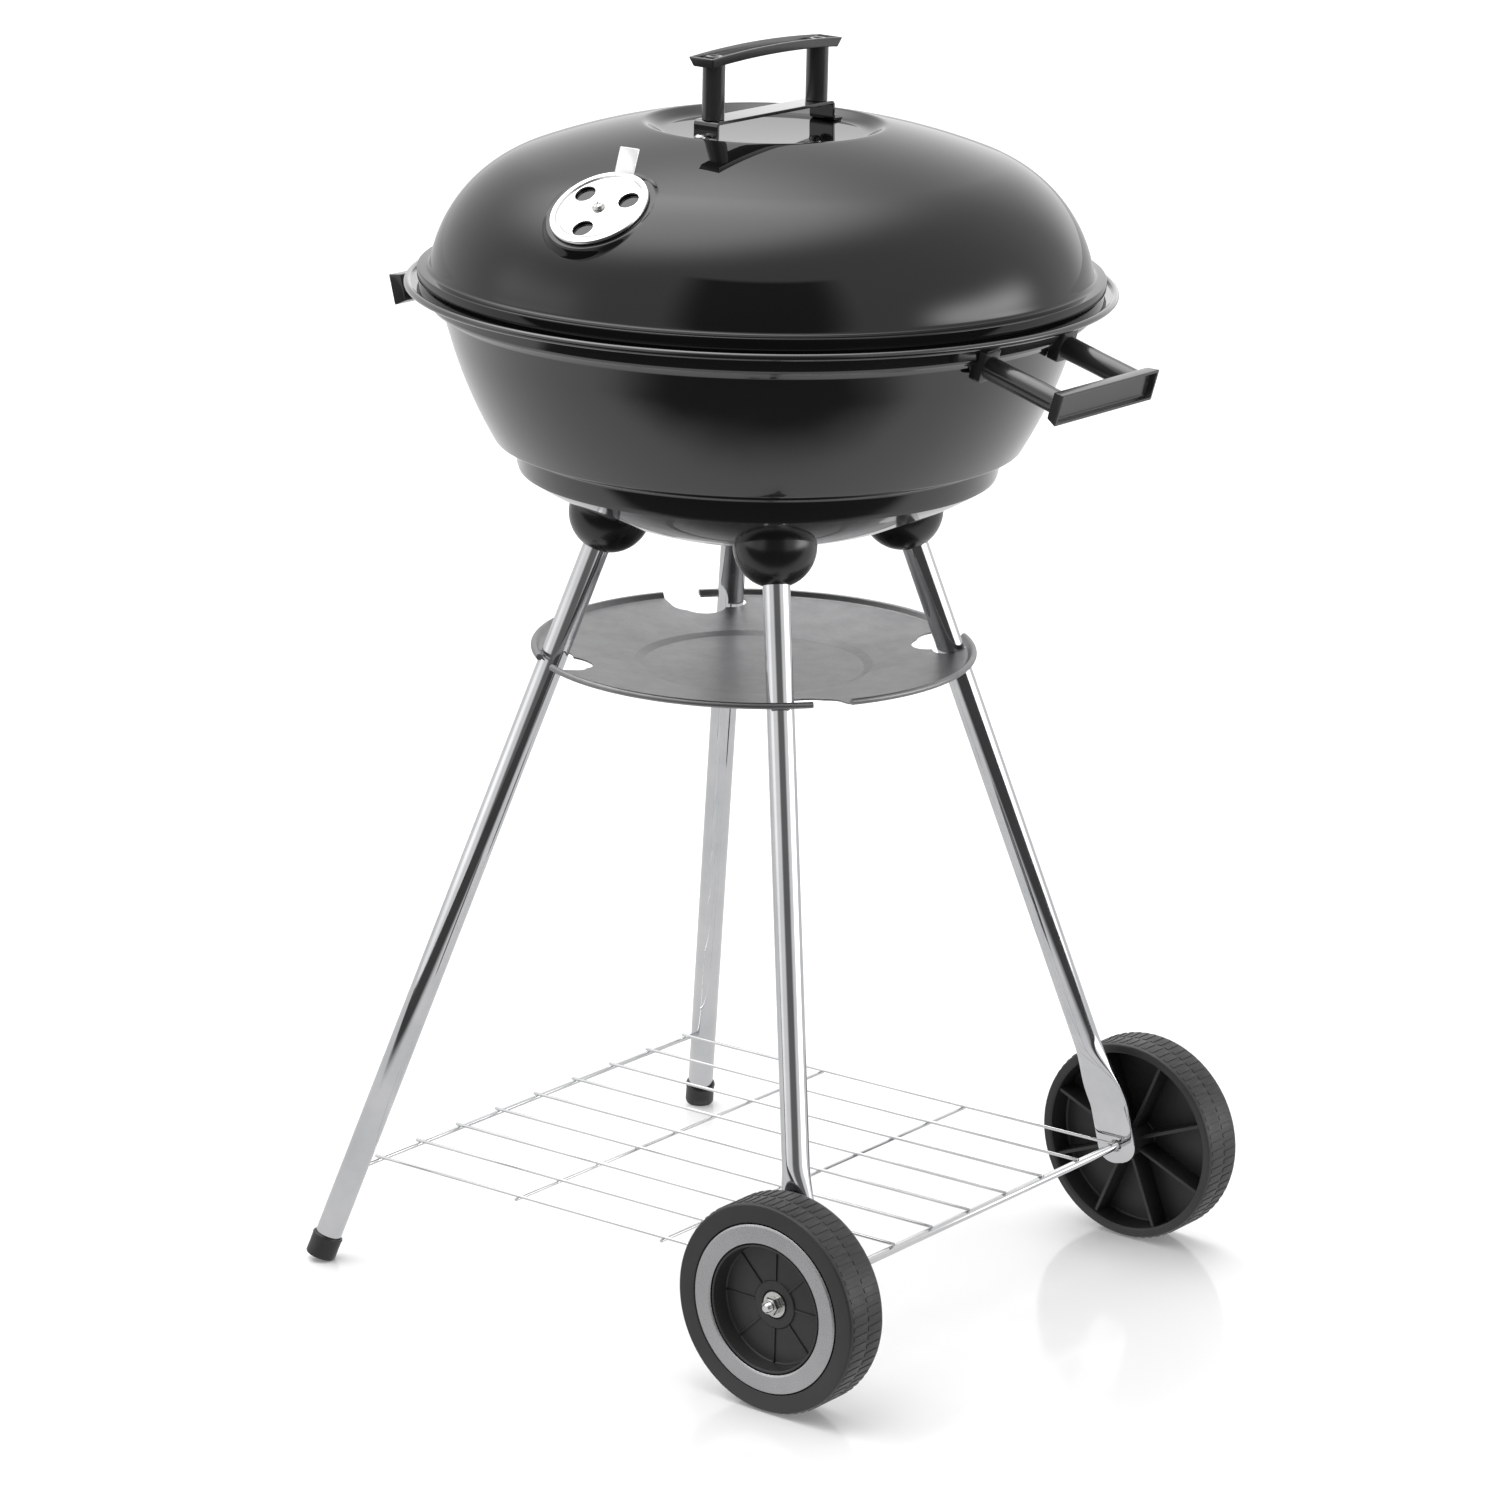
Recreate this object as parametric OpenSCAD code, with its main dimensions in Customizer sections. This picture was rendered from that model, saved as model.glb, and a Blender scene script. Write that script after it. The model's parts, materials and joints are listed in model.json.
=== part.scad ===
// Kettle charcoal grill. A lidded steel bowl stands on four splayed tube legs.
// Two legs carry an axle with wheels, two end in foot caps, and a wire shelf
// joins them. An ash tray hooks round the legs under the bowl.
// The origin is on the floor under the bowl's axis, +X points to the wheels,
// +Y runs along the axle and +Z is up. All sizes are in millimetres.

/* [Bowl] */
// Outer radius of the bowl's rolled rim
rim_r = 220; // [218:0.5:222]
// Height of the rim's flat top face above the floor
rim_z = 632.6; // [632:0.1:633.5]
// Thickness of the bowl's and the lid's sheet
sheet = 1.5; // [1.3:0.1:1.7]
// Radius of the rolled bead on the rim
rim_bead_r = 2.2; // [2:0.1:2.4]
// Spherical radius of the dish in the bowl's bottom
dish_r = 276; // [270:1:282]
// Radius of the flat pad in the middle of the dish
pad_r = 36; // [34:1:37]

/* [Lid] */
// Spherical radius of the lid's crown
crown_r = 418; // [416:1:420]
// Radius of the lid's shoulder
shoulder_r = 89; // [88:0.5:90]
// Radius of the round recess in the crown
recess_r = 71; // [66:1:74]
// Depth of the recess below its edge
recess_depth = 6; // [4:0.5:7]
// Direction of the lid vent, in degrees from the wheel side
vent_az = -88; // [-120:1:-60]

/* [Vents] */
// Outer radius of a vent damper
damper_r = 31; // [30:0.5:32]
// Radius of the air holes in the dampers, the lid and the bowl
air_hole_r = 6.5; // [5:0.5:7]
// Distance of the air holes from a damper's middle
air_hole_pitch = 18.5; // [17:0.5:19]

/* [Lid handle] */
// Length of the lid handle's grip
grip_len = 129; // [122:1:134]
// Distance between the lid handle's two posts
grip_pitch = 102.6; // [98:0.2:104]
// Height of the grip's ends above the floor
grip_z = 773.5; // [768:0.5:778]
// Width of the strap that carries the lid handle
strap_w = 18.5; // [17:0.5:20]

/* [Side handles] */
// Length of a side handle's grip
side_grip_len = 101; // [98:1:106]
// Distance between a side handle's two posts
side_pitch = 80; // [76:1:82]
// Distance of a side grip's outer face from the bowl's axis
side_reach = 259.5; // [255:0.5:265]
// Height of a side grip's middle
side_z = 600.5; // [598:0.5:602]

/* [Legs] */
// Outer diameter of the leg tubes
leg_d = 17; // [16:0.5:17.5]
// Wall thickness of the leg tubes
leg_wall = 1.2; // [1:0.1:1.5]
// Sideways run of a foot leg for each millimetre of drop, along X
foot_splay_x = 0.256; // [0.25:0.002:0.262]
// Sideways run of a foot leg for each millimetre of drop, along Y
foot_splay_y = 0.268; // [0.262:0.002:0.27]
// Sideways run of a wheel leg for each millimetre of drop, along X
wheel_splay_x = 0.268; // [0.262:0.002:0.272]
// Sideways run of a wheel leg for each millimetre of drop, along Y
wheel_splay_y = 0.252; // [0.248:0.002:0.254]
// Radius of the round cups at the tops of the legs
cup_r = 26; // [24:0.5:28]

/* [Ash tray] */
// Outer radius of the ash tray's rolled rim
tray_r = 140; // [139:0.5:141]
// Height of the tray's rim above the floor
tray_z = 401.7; // [400:0.1:403]

/* [Wheels and shelf] */
// Radius of the wheels, which is also the height of the axle
wheel_r = 66; // [64:0.5:68]
// Width of a wheel
wheel_w = 25.6; // [24:0.2:27]
// Distance of a wheel's inner face from the middle of the grill
wheel_in = 175.5; // [175:0.5:178]
// Number of long wires in the shelf
shelf_wires = 9; // [7:2:11]
// Distance between the shelf's long wires
shelf_pitch = 39.3; // [30:0.1:39.5]

/* [Hidden] */

gap = 0.05;              // between faces that lie on each other
hair = 0.01;             // how far a cutter runs past a face
round_fn = 96;

// bowl
dish_cz = 750;           // centre of the dish's sphere
pad_z = dish_cz - dish_r + 1.2;
step_r = 149.8;
step_z = 531.5;
ledge_r = 164;
ledge_z = 536.8;
wall_cr = -77.6;         // centre of the wall's arc
wall_cz = 679.6;
wall_r = 280.6;
wall_a0 = -30.6;
wall_a1 = -16.2;
collar_r = rim_r - 15;
collar_z = 621.2;

// lid
recess_z = 734;          // height of the crown at the recess's edge
floor_z = recess_z - recess_depth;
crown_cz = recess_z - sqrt(crown_r * crown_r - recess_r * recess_r);
crown_end = 20.74;       // angle from the axis where the shoulder begins
shoulder_cr = (crown_r - shoulder_r) * sin(crown_end);
shoulder_cz = crown_cz + (crown_r - shoulder_r) * cos(crown_end);
shoulder_a1 = 11;
lip_r = rim_r - 6;
lip_z = 637;
skirt_r = rim_r - 9.5;

// lid vent, whose axis leans outwards with the shoulder
vent_lean = 33.8;
vent_rise = -2.6;
vent_radius = shoulder_cr + (shoulder_r + vent_rise) * sin(vent_lean);
vent_z = shoulder_cz + (shoulder_r + vent_rise) * cos(vent_lean);
vent_pad_r = 34.5;
vent_screw_r = 2;
damper_gap = 0.2;
damper_t = 1.2;
damper_rim_h = 2.6;
tab_w = 14;
tab_len = 16.5;
tab_rise = 37;

// lid handle
strap_t = 2;
strap_top = floor_z + 13;
strap_half = 58.5;
strap_foot = 9.2;
screw_r = 2;
grip_h = 6;
grip_arch = 2.6;
grip_bottom_w = 15.4;
grip_top_w = 18.6;
post_r = 6.8;

// side handles
side_tilt = 15.5;
side_t = 8;
side_face_h = 20;
side_back_h = 17;
side_post_r = 7;
side_foot_r = 10;
side_screw_drop = 4.5;
side_screw_r = 2.5;

// legs
leg_r = leg_d / 2;
leg_top_x = 75.5;        // a leg's axis at the height leg_top_z
leg_top_y = 75;
leg_top_z = 450;
cup_t = 3;
cup_at = 42.3;           // distance along a leg from leg_top_z to the dish
bolt_r = 3;
cap_r = 9.75;
cap_len = 15;
cap_floor = 3;
cap_round = 1;
cap_flat = 1.2;          // depth of the flat on which a cap stands
foot_lean = atan(sqrt(pow(foot_splay_x, 2) + pow(foot_splay_y, 2)));
cap_z = (cap_r - cap_round) * sin(foot_lean) - cap_flat;

// axle, flattened leg ends and wheels
axle_z = wheel_r;
axle_x = leg_top_x + wheel_splay_x * (leg_top_z - axle_z);
axle_r = 2.65;
thread_r = 3;
axle_half = 206;
tab_t = 2.6;
tab_half_w = 14.5;
tab_bend_z = 92;
tab_start_z = 132;
tab_y = leg_top_y + wheel_splay_y * (leg_top_z - tab_bend_z) + 0.4;
tab_slant = atan(wheel_splay_x);
washer_t = 1.2;
washer_r = 8;
hub_r = 11;
hub_in = tab_y + tab_t / 2 + washer_t + 0.8;
hub_out = wheel_in + 20.2;
web_in = 17.4;
trim_in = 40.9;
trim_out = 52.7;

// wire shelf
rod_r = 1.5;
wire_r = 1.05;
rod_x = -174;
rod_z = 60;
wire_z0 = rod_z + rod_r + wire_r - 0.2;
wire_z1 = axle_z + axle_r + wire_r + gap;
wire_over = 2.5;

// ash tray
tray_bead_r = 2;
tray_t = 1;
tray_floor_r = 70;
tray_leg_r = (leg_top_x + leg_top_y) / sqrt(2) + 0.3691 * (leg_top_z - tray_z);
tray_seat_r = 10.3;
tray_gap_a0 = 8;
tray_gap_a1 = 18.5;
tray_gap_mid = 13;

// points on an arc from a0 to a1 degrees round (cr, cz)
function arc(cr, cz, r, a0, a1, n) =
    [for (i = [0:n]) let (a = a0 + (a1 - a0) * i / n) [cr + r * cos(a), cz + r * sin(a)]];

function reversed(p) = [for (i = [len(p) - 1:-1:0]) p[i]];

// outline of the bowl's sheet from the bottom up, s inside its outer face
function bowl_path(s) = concat(
    [[0, pad_z + s], [pad_r - s / 2, pad_z + s]],
    arc(0, dish_cz, dish_r - s, -81, -57.2, 12),
    [[step_r - s, step_z + s], [ledge_r - s, ledge_z + s]],
    arc(wall_cr, wall_cz, wall_r - s, wall_a0 + 0.6, wall_a1, 8),
    [[rim_r - 23.9 - s, 615.4 + s / 3], [rim_r - 21.5 - s * 0.8, 618.6 + s],
     [collar_r - 1.5 - s * 0.8, 619.7 + s], [collar_r - s, collar_z + s]]);

// outline of the lid's sheet from the middle out, s inside its outer face
function lid_path(s) = concat(
    [[0, floor_z - s], [recess_r - 2 + s * 0.6, floor_z - s],
     [recess_r - 0.7 + s * 0.8, floor_z + 1.4 - s * 0.5]],
    arc(0, crown_cz, crown_r - s, 90 - asin((recess_r + 1.6 + s) / crown_r), 90 - crown_end, 8),
    arc(shoulder_cr, shoulder_cz, shoulder_r - s, 90 - crown_end - 3, shoulder_a1, 14));

// a ring sector between two radii and two angles
module ring_sector(r1, r2, a1, a2) {
    polygon(concat(arc(0, 0, r1, a1, a2, 8), arc(0, 0, r2, a2, a1, 8)));
}

// the bowl's outer shape as one solid, grown by g, for cutting what meets it
module bowl_solid(g) {
    rotate_extrude($fn = round_fn)
        polygon(concat(bowl_path(-g), [[collar_r + g, rim_z + 20], [0, rim_z + 20]]));
}

// the lid's frame at the vent: local +Z is the outward normal, +X down the slope
module at_lid_vent() {
    rotate([0, 0, vent_az])
        translate([vent_radius, 0, vent_z])
            rotate([0, vent_lean, 0])
                children();
}

// the bowl's frame at the bottom vent, with local +Z pointing down
module at_bottom_vent() {
    translate([0, 0, pad_z])
        rotate([180, 0, 0])
            children();
}

// three air holes, turned by a degrees
module air_holes(a, z0, z1) {
    for (i = [0:2])
        rotate([0, 0, a + 120 * i])
            translate([air_hole_pitch, 0, z0])
                cylinder(r = air_hole_r, h = z1 - z0, $fn = 48);
}

module vent_damper() {
    difference() {
        union() {
            rotate_extrude($fn = round_fn)
                polygon([[0, damper_gap], [damper_r - 5.2, damper_gap],
                    [damper_r - 3.4, damper_rim_h - damper_t], [damper_r - 1, damper_rim_h - damper_t],
                    [damper_r - 0.8, damper_gap + 1], [damper_r, damper_gap + 1],
                    [damper_r, damper_rim_h - 0.6], [damper_r - 0.8, damper_rim_h],
                    [damper_r - 4.2, damper_rim_h], [damper_r - 6.2, damper_gap + damper_t],
                    [0, damper_gap + damper_t]]);
            translate([-damper_r + 1.2, 0, damper_rim_h - damper_t])
                rotate([0, tab_rise, 0])
                    translate([-tab_len, -tab_w / 2, 0])
                        cube([tab_len, tab_w, damper_t]);
        }
        translate([0, 0, -1])
            cylinder(r = vent_screw_r + 0.06, h = 6, $fn = 48);
        air_holes(0, -1, 6);
    }
}

module vent_screw() {
    union() {
        translate([0, 0, damper_gap + damper_t + 0.1])
            rotate_extrude($fn = 48)
                polygon([[0, 0], [4.1, 0], [4.1, 0.9], [3.4, 2.1], [2, 2.7], [0, 2.8]]);
        translate([0, 0, -9])
            cylinder(r = vent_screw_r, h = 9 + damper_gap + damper_t + 0.2, $fn = 48);
    }
}

// hexagon nut with its top face at z = 0, af across the flats
module nut(af, h, bore) {
    translate([0, 0, -h])
        difference() {
            cylinder(r = af / sqrt(3), h = h, $fn = 6);
            translate([0, 0, -1])
                cylinder(r = bore, h = h + 2, $fn = 48);
        }
}

// ---------------------------------------------------------------- lid

module lid_shell() {
    color("#1c1c1e")
        difference() {
            union() {
                difference() {
                    union() {
                        rotate_extrude($fn = round_fn)
                            polygon(concat(lid_path(0),
                                [[lip_r - 7.4, 643.6], [lip_r - 0.8, 643], [lip_r, 642],
                                 [lip_r, lip_z + 1.2], [lip_r - 1, lip_z], [skirt_r, lip_z], [skirt_r, rim_z + gap],
                                 [skirt_r - sheet, rim_z + gap], [skirt_r - sheet, lip_z + 3.5],
                                 [lip_r - 9.4, lip_z + 5.2]],
                                reversed(lid_path(sheet))));
                        at_lid_vent()
                            translate([0, 0, -14])
                                cylinder(r1 = vent_pad_r + 4, r2 = vent_pad_r, h = 14, $fn = round_fn);
                    }
                    rotate_extrude($fn = round_fn)
                        polygon(concat([[0, rim_z + 20], [lip_r - 14, rim_z + 20]],
                            reversed(lid_path(sheet))));
                    at_lid_vent()
                        cylinder(r1 = vent_pad_r + 0.1, r2 = vent_pad_r + 4, h = 8, $fn = round_fn);
                }
                at_lid_vent()
                    translate([0, 0, -2])
                        cylinder(r = vent_pad_r - 0.4, h = 2, $fn = round_fn);
            }
            at_lid_vent() {
                air_holes(60, -30, 1);
                translate([0, 0, -30])
                    cylinder(r = vent_screw_r + gap, h = 31, $fn = 48);
            }
            for (s = [-1, 1])
                translate([0, s * (strap_half + strap_foot / 2), floor_z - 5])
                    cylinder(r = screw_r + gap, h = 10, $fn = 48);
        }
}

// the grip's side view: an arched bar whose ends flare out at the top
module grip_side(len, top, bottom, flare) {
    big_r = (len * len / 4 + grip_arch * grip_arch) / (2 * grip_arch);
    half_a = asin(len / 2 / big_r);
    top_arc = arc(0, top + grip_arch - big_r, big_r, 90 - half_a, 90 + half_a, 12);
    low_arc = arc(0, bottom + grip_arch - big_r, big_r, 90 + half_a, 90 - half_a, 12);
    polygon([for (p = concat(top_arc, [for (q = low_arc) [q[0] * (1 - 2 * flare / len), q[1]]])) p]);
}

module lid_handle() {
    color("#222224")
        difference() {
            union() {
                intersection() {
                    rotate([90, 0, 90])
                        translate([0, 0, -20])
                            linear_extrude(height = 40)
                                grip_side(grip_len, grip_z + grip_h, grip_z, 3);
                    rotate([90, 0, 0])
                        translate([0, 0, -grip_len])
                            linear_extrude(height = 2 * grip_len)
                                polygon([[-grip_bottom_w / 2, grip_z - 1], [grip_bottom_w / 2, grip_z - 1],
                                    [grip_top_w / 2, grip_z + grip_h + grip_arch],
                                    [-grip_top_w / 2, grip_z + grip_h + grip_arch]]);
                }
                for (s = [-1, 1])
                    translate([0, s * grip_pitch / 2, strap_top + gap])
                        cylinder(r = post_r, h = grip_z + 1.5 - strap_top, $fn = 64);
            }
            rotate([90, 0, 90])
                translate([0, 0, -grip_top_w / 2 + 1.7])
                    linear_extrude(height = grip_top_w - 3.4)
                        grip_side(grip_len - 4, grip_z + grip_h + 6, grip_z + 3, 1);
            for (s = [-1, 1])
                translate([0, s * grip_pitch / 2, strap_top - 1])
                    cylinder(r = screw_r + gap, h = 18, $fn = 48);
        }
}

module lid_handle_bracket() {
    color("#1a1a1c")
        difference() {
            union() {
                translate([-strap_w / 2, -strap_half, strap_top - strap_t])
                    cube([strap_w, 2 * strap_half, strap_t]);
                for (s = [0, 1])
                    mirror([0, s, 0]) {
                        translate([-strap_w / 2, strap_half - strap_t, floor_z + gap])
                            cube([strap_w, strap_t, strap_top - floor_z - gap]);
                        translate([-strap_w / 2, strap_half - strap_t, floor_z + gap])
                            cube([strap_w, strap_t + strap_foot, strap_t]);
                    }
            }
            for (s = [-1, 1]) {
                translate([0, s * grip_pitch / 2, strap_top - 5])
                    cylinder(r = screw_r + gap, h = 10, $fn = 48);
                translate([0, s * (strap_half + strap_foot / 2), floor_z - 5])
                    cylinder(r = screw_r + gap, h = 10, $fn = 48);
            }
        }
}

// round-headed screw along +Z, its head's seat at z = 0 and its head above
module pan_screw(shank_r, length, head_r, head_h) {
    union() {
        rotate_extrude($fn = 48)
            polygon([[0, 0], [head_r, 0], [head_r, head_h * 0.35], [head_r * 0.8, head_h * 0.8],
                [head_r * 0.4, head_h], [0, head_h]]);
        translate([0, 0, -length])
            cylinder(r = shank_r, h = length + 0.2, $fn = 48);
    }
}

module lid_handle_screws() {
    color("silver")
        for (s = [-1, 1])
            translate([0, s * grip_pitch / 2, strap_top - strap_t - gap])
                rotate([180, 0, 0])
                    pan_screw(screw_r, 16, 3.8, 2.4);
}

module lid_bracket_screws() {
    color("silver")
        for (s = [-1, 1])
            translate([0, s * (strap_half + strap_foot / 2), floor_z + strap_t + 2 * gap])
                pan_screw(screw_r, 9, 3.8, 2.4);
}

module lid_bracket_nuts() {
    color("silver")
        for (s = [-1, 1])
            translate([0, s * (strap_half + strap_foot / 2), floor_z - sheet - gap])
                nut(7, 3.2, screw_r + gap);
}

module lid_vent_damper() {
    color("silver")
        at_lid_vent()
            vent_damper();
}

module lid_vent_screw() {
    color("silver")
        at_lid_vent()
            vent_screw();
}

module lid_vent_nut() {
    color("silver")
        at_lid_vent()
            translate([0, 0, -2 - gap])
                nut(7, 3.2, vent_screw_r + gap);
}

// ---------------------------------------------------------------- bowl

module bowl_shell() {
    color("#2a2a2c")
        difference() {
            rotate_extrude($fn = round_fn)
                union() {
                    polygon(concat(bowl_path(0),
                        [[collar_r, rim_z - sheet], [rim_r - 3.5, rim_z - sheet], [rim_r - 3.5, rim_z],
                         [collar_r - sheet, rim_z]],
                        reversed(bowl_path(sheet))));
                    translate([rim_r - rim_bead_r, rim_z + 0.4])
                        circle(r = rim_bead_r, $fn = 32);
                }
            at_bottom_vent() {
                air_holes(60, -8, 2);
                translate([0, 0, -8])
                    cylinder(r = vent_screw_r + gap, h = 10, $fn = 48);
            }
            for (leg = [0:3])
                at_leg(leg)
                    translate([0, 0, cup_at - 8])
                        cylinder(r = bolt_r + 0.3, h = 16, $fn = 48);
            for (turn = [0, 180], s = [-1, 1])
                at_side_handle(turn)
                    translate([-80, s * side_pitch / 2, -side_screw_drop])
                        rotate([0, 90, 0])
                            cylinder(r = side_screw_r + 0.2, h = 30, $fn = 48);
        }
}

// a side handle's frame: origin on the grip's outer face, +X outwards
module at_side_handle(turn) {
    rotate([0, 0, turn])
        translate([side_reach, 0, side_z])
            rotate([0, side_tilt, 0])
                children();
}

module side_handle(turn) {
    color("#222224")
        difference() {
            at_side_handle(turn)
                difference() {
                    union() {
                        intersection() {
                            rotate([90, 0, 0])
                                translate([0, 0, -side_grip_len])
                                    linear_extrude(height = 2 * side_grip_len)
                                        polygon([[-side_t, -side_back_h / 2], [0, -side_face_h / 2],
                                            [0, side_face_h / 2], [-side_t, side_back_h / 2]]);
                            translate([0, 0, -side_face_h])
                                linear_extrude(height = 2 * side_face_h)
                                    polygon([[-side_t, 3 - side_grip_len / 2], [0, -side_grip_len / 2],
                                        [0, side_grip_len / 2], [-side_t, side_grip_len / 2 - 3]]);
                        }
                        for (s = [-1, 1])
                            translate([0, s * side_pitch / 2, 0])
                                rotate([0, -90, 0]) {
                                    translate([0, 0, side_t - 1])
                                        cylinder(r = side_post_r, h = 67, $fn = 64);
                                    translate([0, 0, 54])
                                        cylinder(r1 = side_post_r, r2 = side_foot_r, h = 12, $fn = 64);
                                }
                    }
                    translate([-3.6, 2 - side_grip_len / 2, 2 - side_face_h / 2])
                        cube([10, side_grip_len - 4, side_face_h - 4]);
                    for (s = [-1, 1])
                        translate([-90, s * side_pitch / 2, -side_screw_drop])
                            rotate([0, 90, 0])
                                cylinder(r = side_screw_r + gap, h = 50, $fn = 48);
                }
            bowl_solid(gap);
        }
}

module side_handle_wheel_end() {
    side_handle(0);
}

module side_handle_foot_end() {
    side_handle(180);
}

module side_handle_screws() {
    color("silver")
        for (turn = [0, 180], s = [-1, 1])
            at_side_handle(turn)
                translate([-72.4, s * side_pitch / 2, -side_screw_drop])
                    rotate([0, -90, 0])
                        pan_screw(side_screw_r, 26, 4.6, 2.8);
}

// the ring of a round wire grate
module grate_ring(ring_radius, ring_wire, z) {
    translate([0, 0, z])
        rotate_extrude($fn = round_fn)
            translate([ring_radius, 0])
                circle(r = ring_wire, $fn = 24);
}

// the straight wires that lie on a grate's ring
module grate_bars(ring_radius, bar_wire, pitch, count, z) {
    for (i = [0:count - 1]) {
        x = (i - (count - 1) / 2) * pitch;
        half = sqrt(ring_radius * ring_radius - x * x) + 1;
        translate([x, -half, z + bar_wire])
            rotate([-90, 0, 0])
                cylinder(r = bar_wire, h = 2 * half, $fn = 24);
    }
}

module cooking_grate_ring() {
    color("silver")
        grate_ring(rim_r - 20.5, 2.2, 623.2);
}

module cooking_grate_bars() {
    color("silver")
        grate_bars(rim_r - 20.5, 1.6, 13.5, 27, 625.43);
}

module charcoal_grate_ring() {
    color("gray")
        grate_ring(156.5, 2.5, 539.2);
}

module charcoal_grate_bars() {
    color("gray")
        grate_bars(156.5, 2, 15.5, 19, 541.73);
}

module bottom_vent_damper() {
    color("silver")
        at_bottom_vent()
            vent_damper();
}

module bottom_vent_screw() {
    color("silver")
        at_bottom_vent()
            vent_screw();
}

module bottom_vent_nut() {
    color("silver")
        at_bottom_vent()
            translate([0, 0, -sheet - gap])
                nut(7, 3.2, vent_screw_r + gap);
}

// ---------------------------------------------------------------- legs

// A leg's frame: origin on its axis at leg_top_z, local +Z up along the tube.
// Legs 0 and 1 are the wheel legs at -Y and +Y, 2 and 3 the foot legs at -Y and +Y.
module at_leg(leg) {
    end = leg < 2 ? 1 : -1;
    side = leg % 2 == 0 ? -1 : 1;
    kx = end * (leg < 2 ? wheel_splay_x : foot_splay_x);
    ky = side * (leg < 2 ? wheel_splay_y : foot_splay_y);
    translate([end * leg_top_x, side * leg_top_y, leg_top_z])
        rotate([0, atan(sqrt(kx * kx + ky * ky)), atan2(-ky, -kx)])
            children();
}

module leg_cup(leg) {
    color("#19191b")
        difference() {
            at_leg(leg)
                translate([0, 0, cup_at])
                    rotate_extrude($fn = round_fn)
                        polygon(concat([[leg_r + gap, -sqrt(pow(cup_r, 2) - pow(leg_r + gap, 2))]],
                            arc(0, 0, cup_r, -70, 0, 12), [[cup_r, 2], [cup_r - cup_t, 2]],
                            arc(0, 0, cup_r - cup_t, 0, -67, 10),
                            [[leg_r + gap, -sqrt(pow(cup_r - cup_t, 2) - pow(leg_r + gap, 2))]]));
            bowl_solid(gap);
        }
}

module leg_cup_wheel_right() {
    leg_cup(0);
}

module leg_cup_wheel_left() {
    leg_cup(1);
}

module leg_cup_foot_right() {
    leg_cup(2);
}

module leg_cup_foot_left() {
    leg_cup(3);
}

// distance along a leg from leg_top_z down to the height z
function leg_run(leg, z) = (leg_top_z - z)
    * sqrt(1 + (leg < 2 ? pow(wheel_splay_x, 2) + pow(wheel_splay_y, 2)
                        : pow(foot_splay_x, 2) + pow(foot_splay_y, 2)));

// a tube from the dish down to the height z
module leg_tube(leg, z) {
    run = leg_run(leg, z);
    top = cup_at - 0.9;
    at_leg(leg)
        translate([0, 0, -run])
            difference() {
                cylinder(r = leg_r, h = run + top, $fn = 64);
                translate([0, 0, -hair])
                    cylinder(r = leg_r - leg_wall, h = run + top + 1, $fn = 64);
            }
}

// the flattened end of a wheel leg, upright beside the wheel
module leg_tab(side) {
    translate([axle_x, side * tab_y, axle_z])
        rotate([0, -tab_slant, 0])
            rotate([90, 0, 0])
                translate([0, 0, -tab_t / 2])
                    linear_extrude(height = tab_t)
                        difference() {
                            intersection() {
                                translate([-tab_half_w, -12])
                                    square([2 * tab_half_w, 12 + (tab_bend_z - axle_z) / cos(tab_slant)]);
                                union() {
                                    translate([0, 3])
                                        circle(r = 15.2, $fn = 64);
                                    translate([-tab_half_w, 3])
                                        square([2 * tab_half_w, 40]);
                                }
                            }
                            circle(r = 4.3, $fn = 48);
                        }
}

module wheel_leg(leg) {
    side = leg == 0 ? -1 : 1;
    color("silver")
        union() {
            leg_tube(leg, tab_start_z);
            hull() {
                at_leg(leg)
                    translate([0, 0, -leg_run(leg, tab_start_z) - 1])
                        cylinder(r = leg_r - 0.3, h = 4, $fn = 32);
                translate([axle_x, side * tab_y, axle_z])
                    rotate([0, -tab_slant, 0])
                        translate([0.3 - tab_half_w, 0.1 - tab_t / 2,
                                   (tab_bend_z - axle_z) / cos(tab_slant) - 2])
                            cube([2 * tab_half_w - 0.6, tab_t - 0.2, 1]);
            }
            leg_tab(side);
        }
}

module leg_wheel_right() {
    wheel_leg(0);
}

module leg_wheel_left() {
    wheel_leg(1);
}

module foot_leg(leg) {
    side = leg == 2 ? -1 : 1;
    color("silver")
        difference() {
            leg_tube(leg, cap_z + cap_floor * cos(foot_lean));
            translate([rod_x, side * 181, rod_z])
                rotate([side * 90, 0, 0])
                    cylinder(r = rod_r + gap, h = 16, $fn = 32);
        }
}

module leg_foot_right() {
    foot_leg(2);
}

module leg_foot_left() {
    foot_leg(3);
}

module leg_plugs() {
    color("gray")
        for (leg = [0:3])
            at_leg(leg)
                translate([0, 0, cup_at - 19])
                    difference() {
                        cylinder(r = leg_r - leg_wall - gap, h = 18, $fn = 48);
                        translate([0, 0, -1])
                            cylinder(r = bolt_r + gap, h = 20, $fn = 48);
                    }
}

module leg_bolts() {
    color("silver")
        for (leg = [0:3])
            at_leg(leg)
                translate([0, 0, cup_at + sheet + 0.4])
                    union() {
                        cylinder(r = 7, h = 1.2, $fn = 48);
                        translate([0, 0, 1])
                            cylinder(r = 5.77, h = 3.6, $fn = 6);
                        translate([0, 0, -19])
                            cylinder(r = bolt_r, h = 19.5, $fn = 48);
                    }
}

module foot_cap(leg) {
    color("#1b1b1d")
        difference() {
            at_leg(leg)
                translate([0, 0, -leg_run(leg, cap_z)])
                    rotate_extrude($fn = 64)
                        polygon([[0, 0], [cap_r - cap_round, 0], [cap_r, cap_round],
                            [cap_r, cap_len - 0.5], [cap_r - 0.5, cap_len], [leg_r + gap, cap_len],
                            [leg_r + gap, cap_floor - gap], [0, cap_floor - gap]]);
            translate([-300, -300, -20])
                cube([600, 600, 20]);
        }
}

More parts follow.
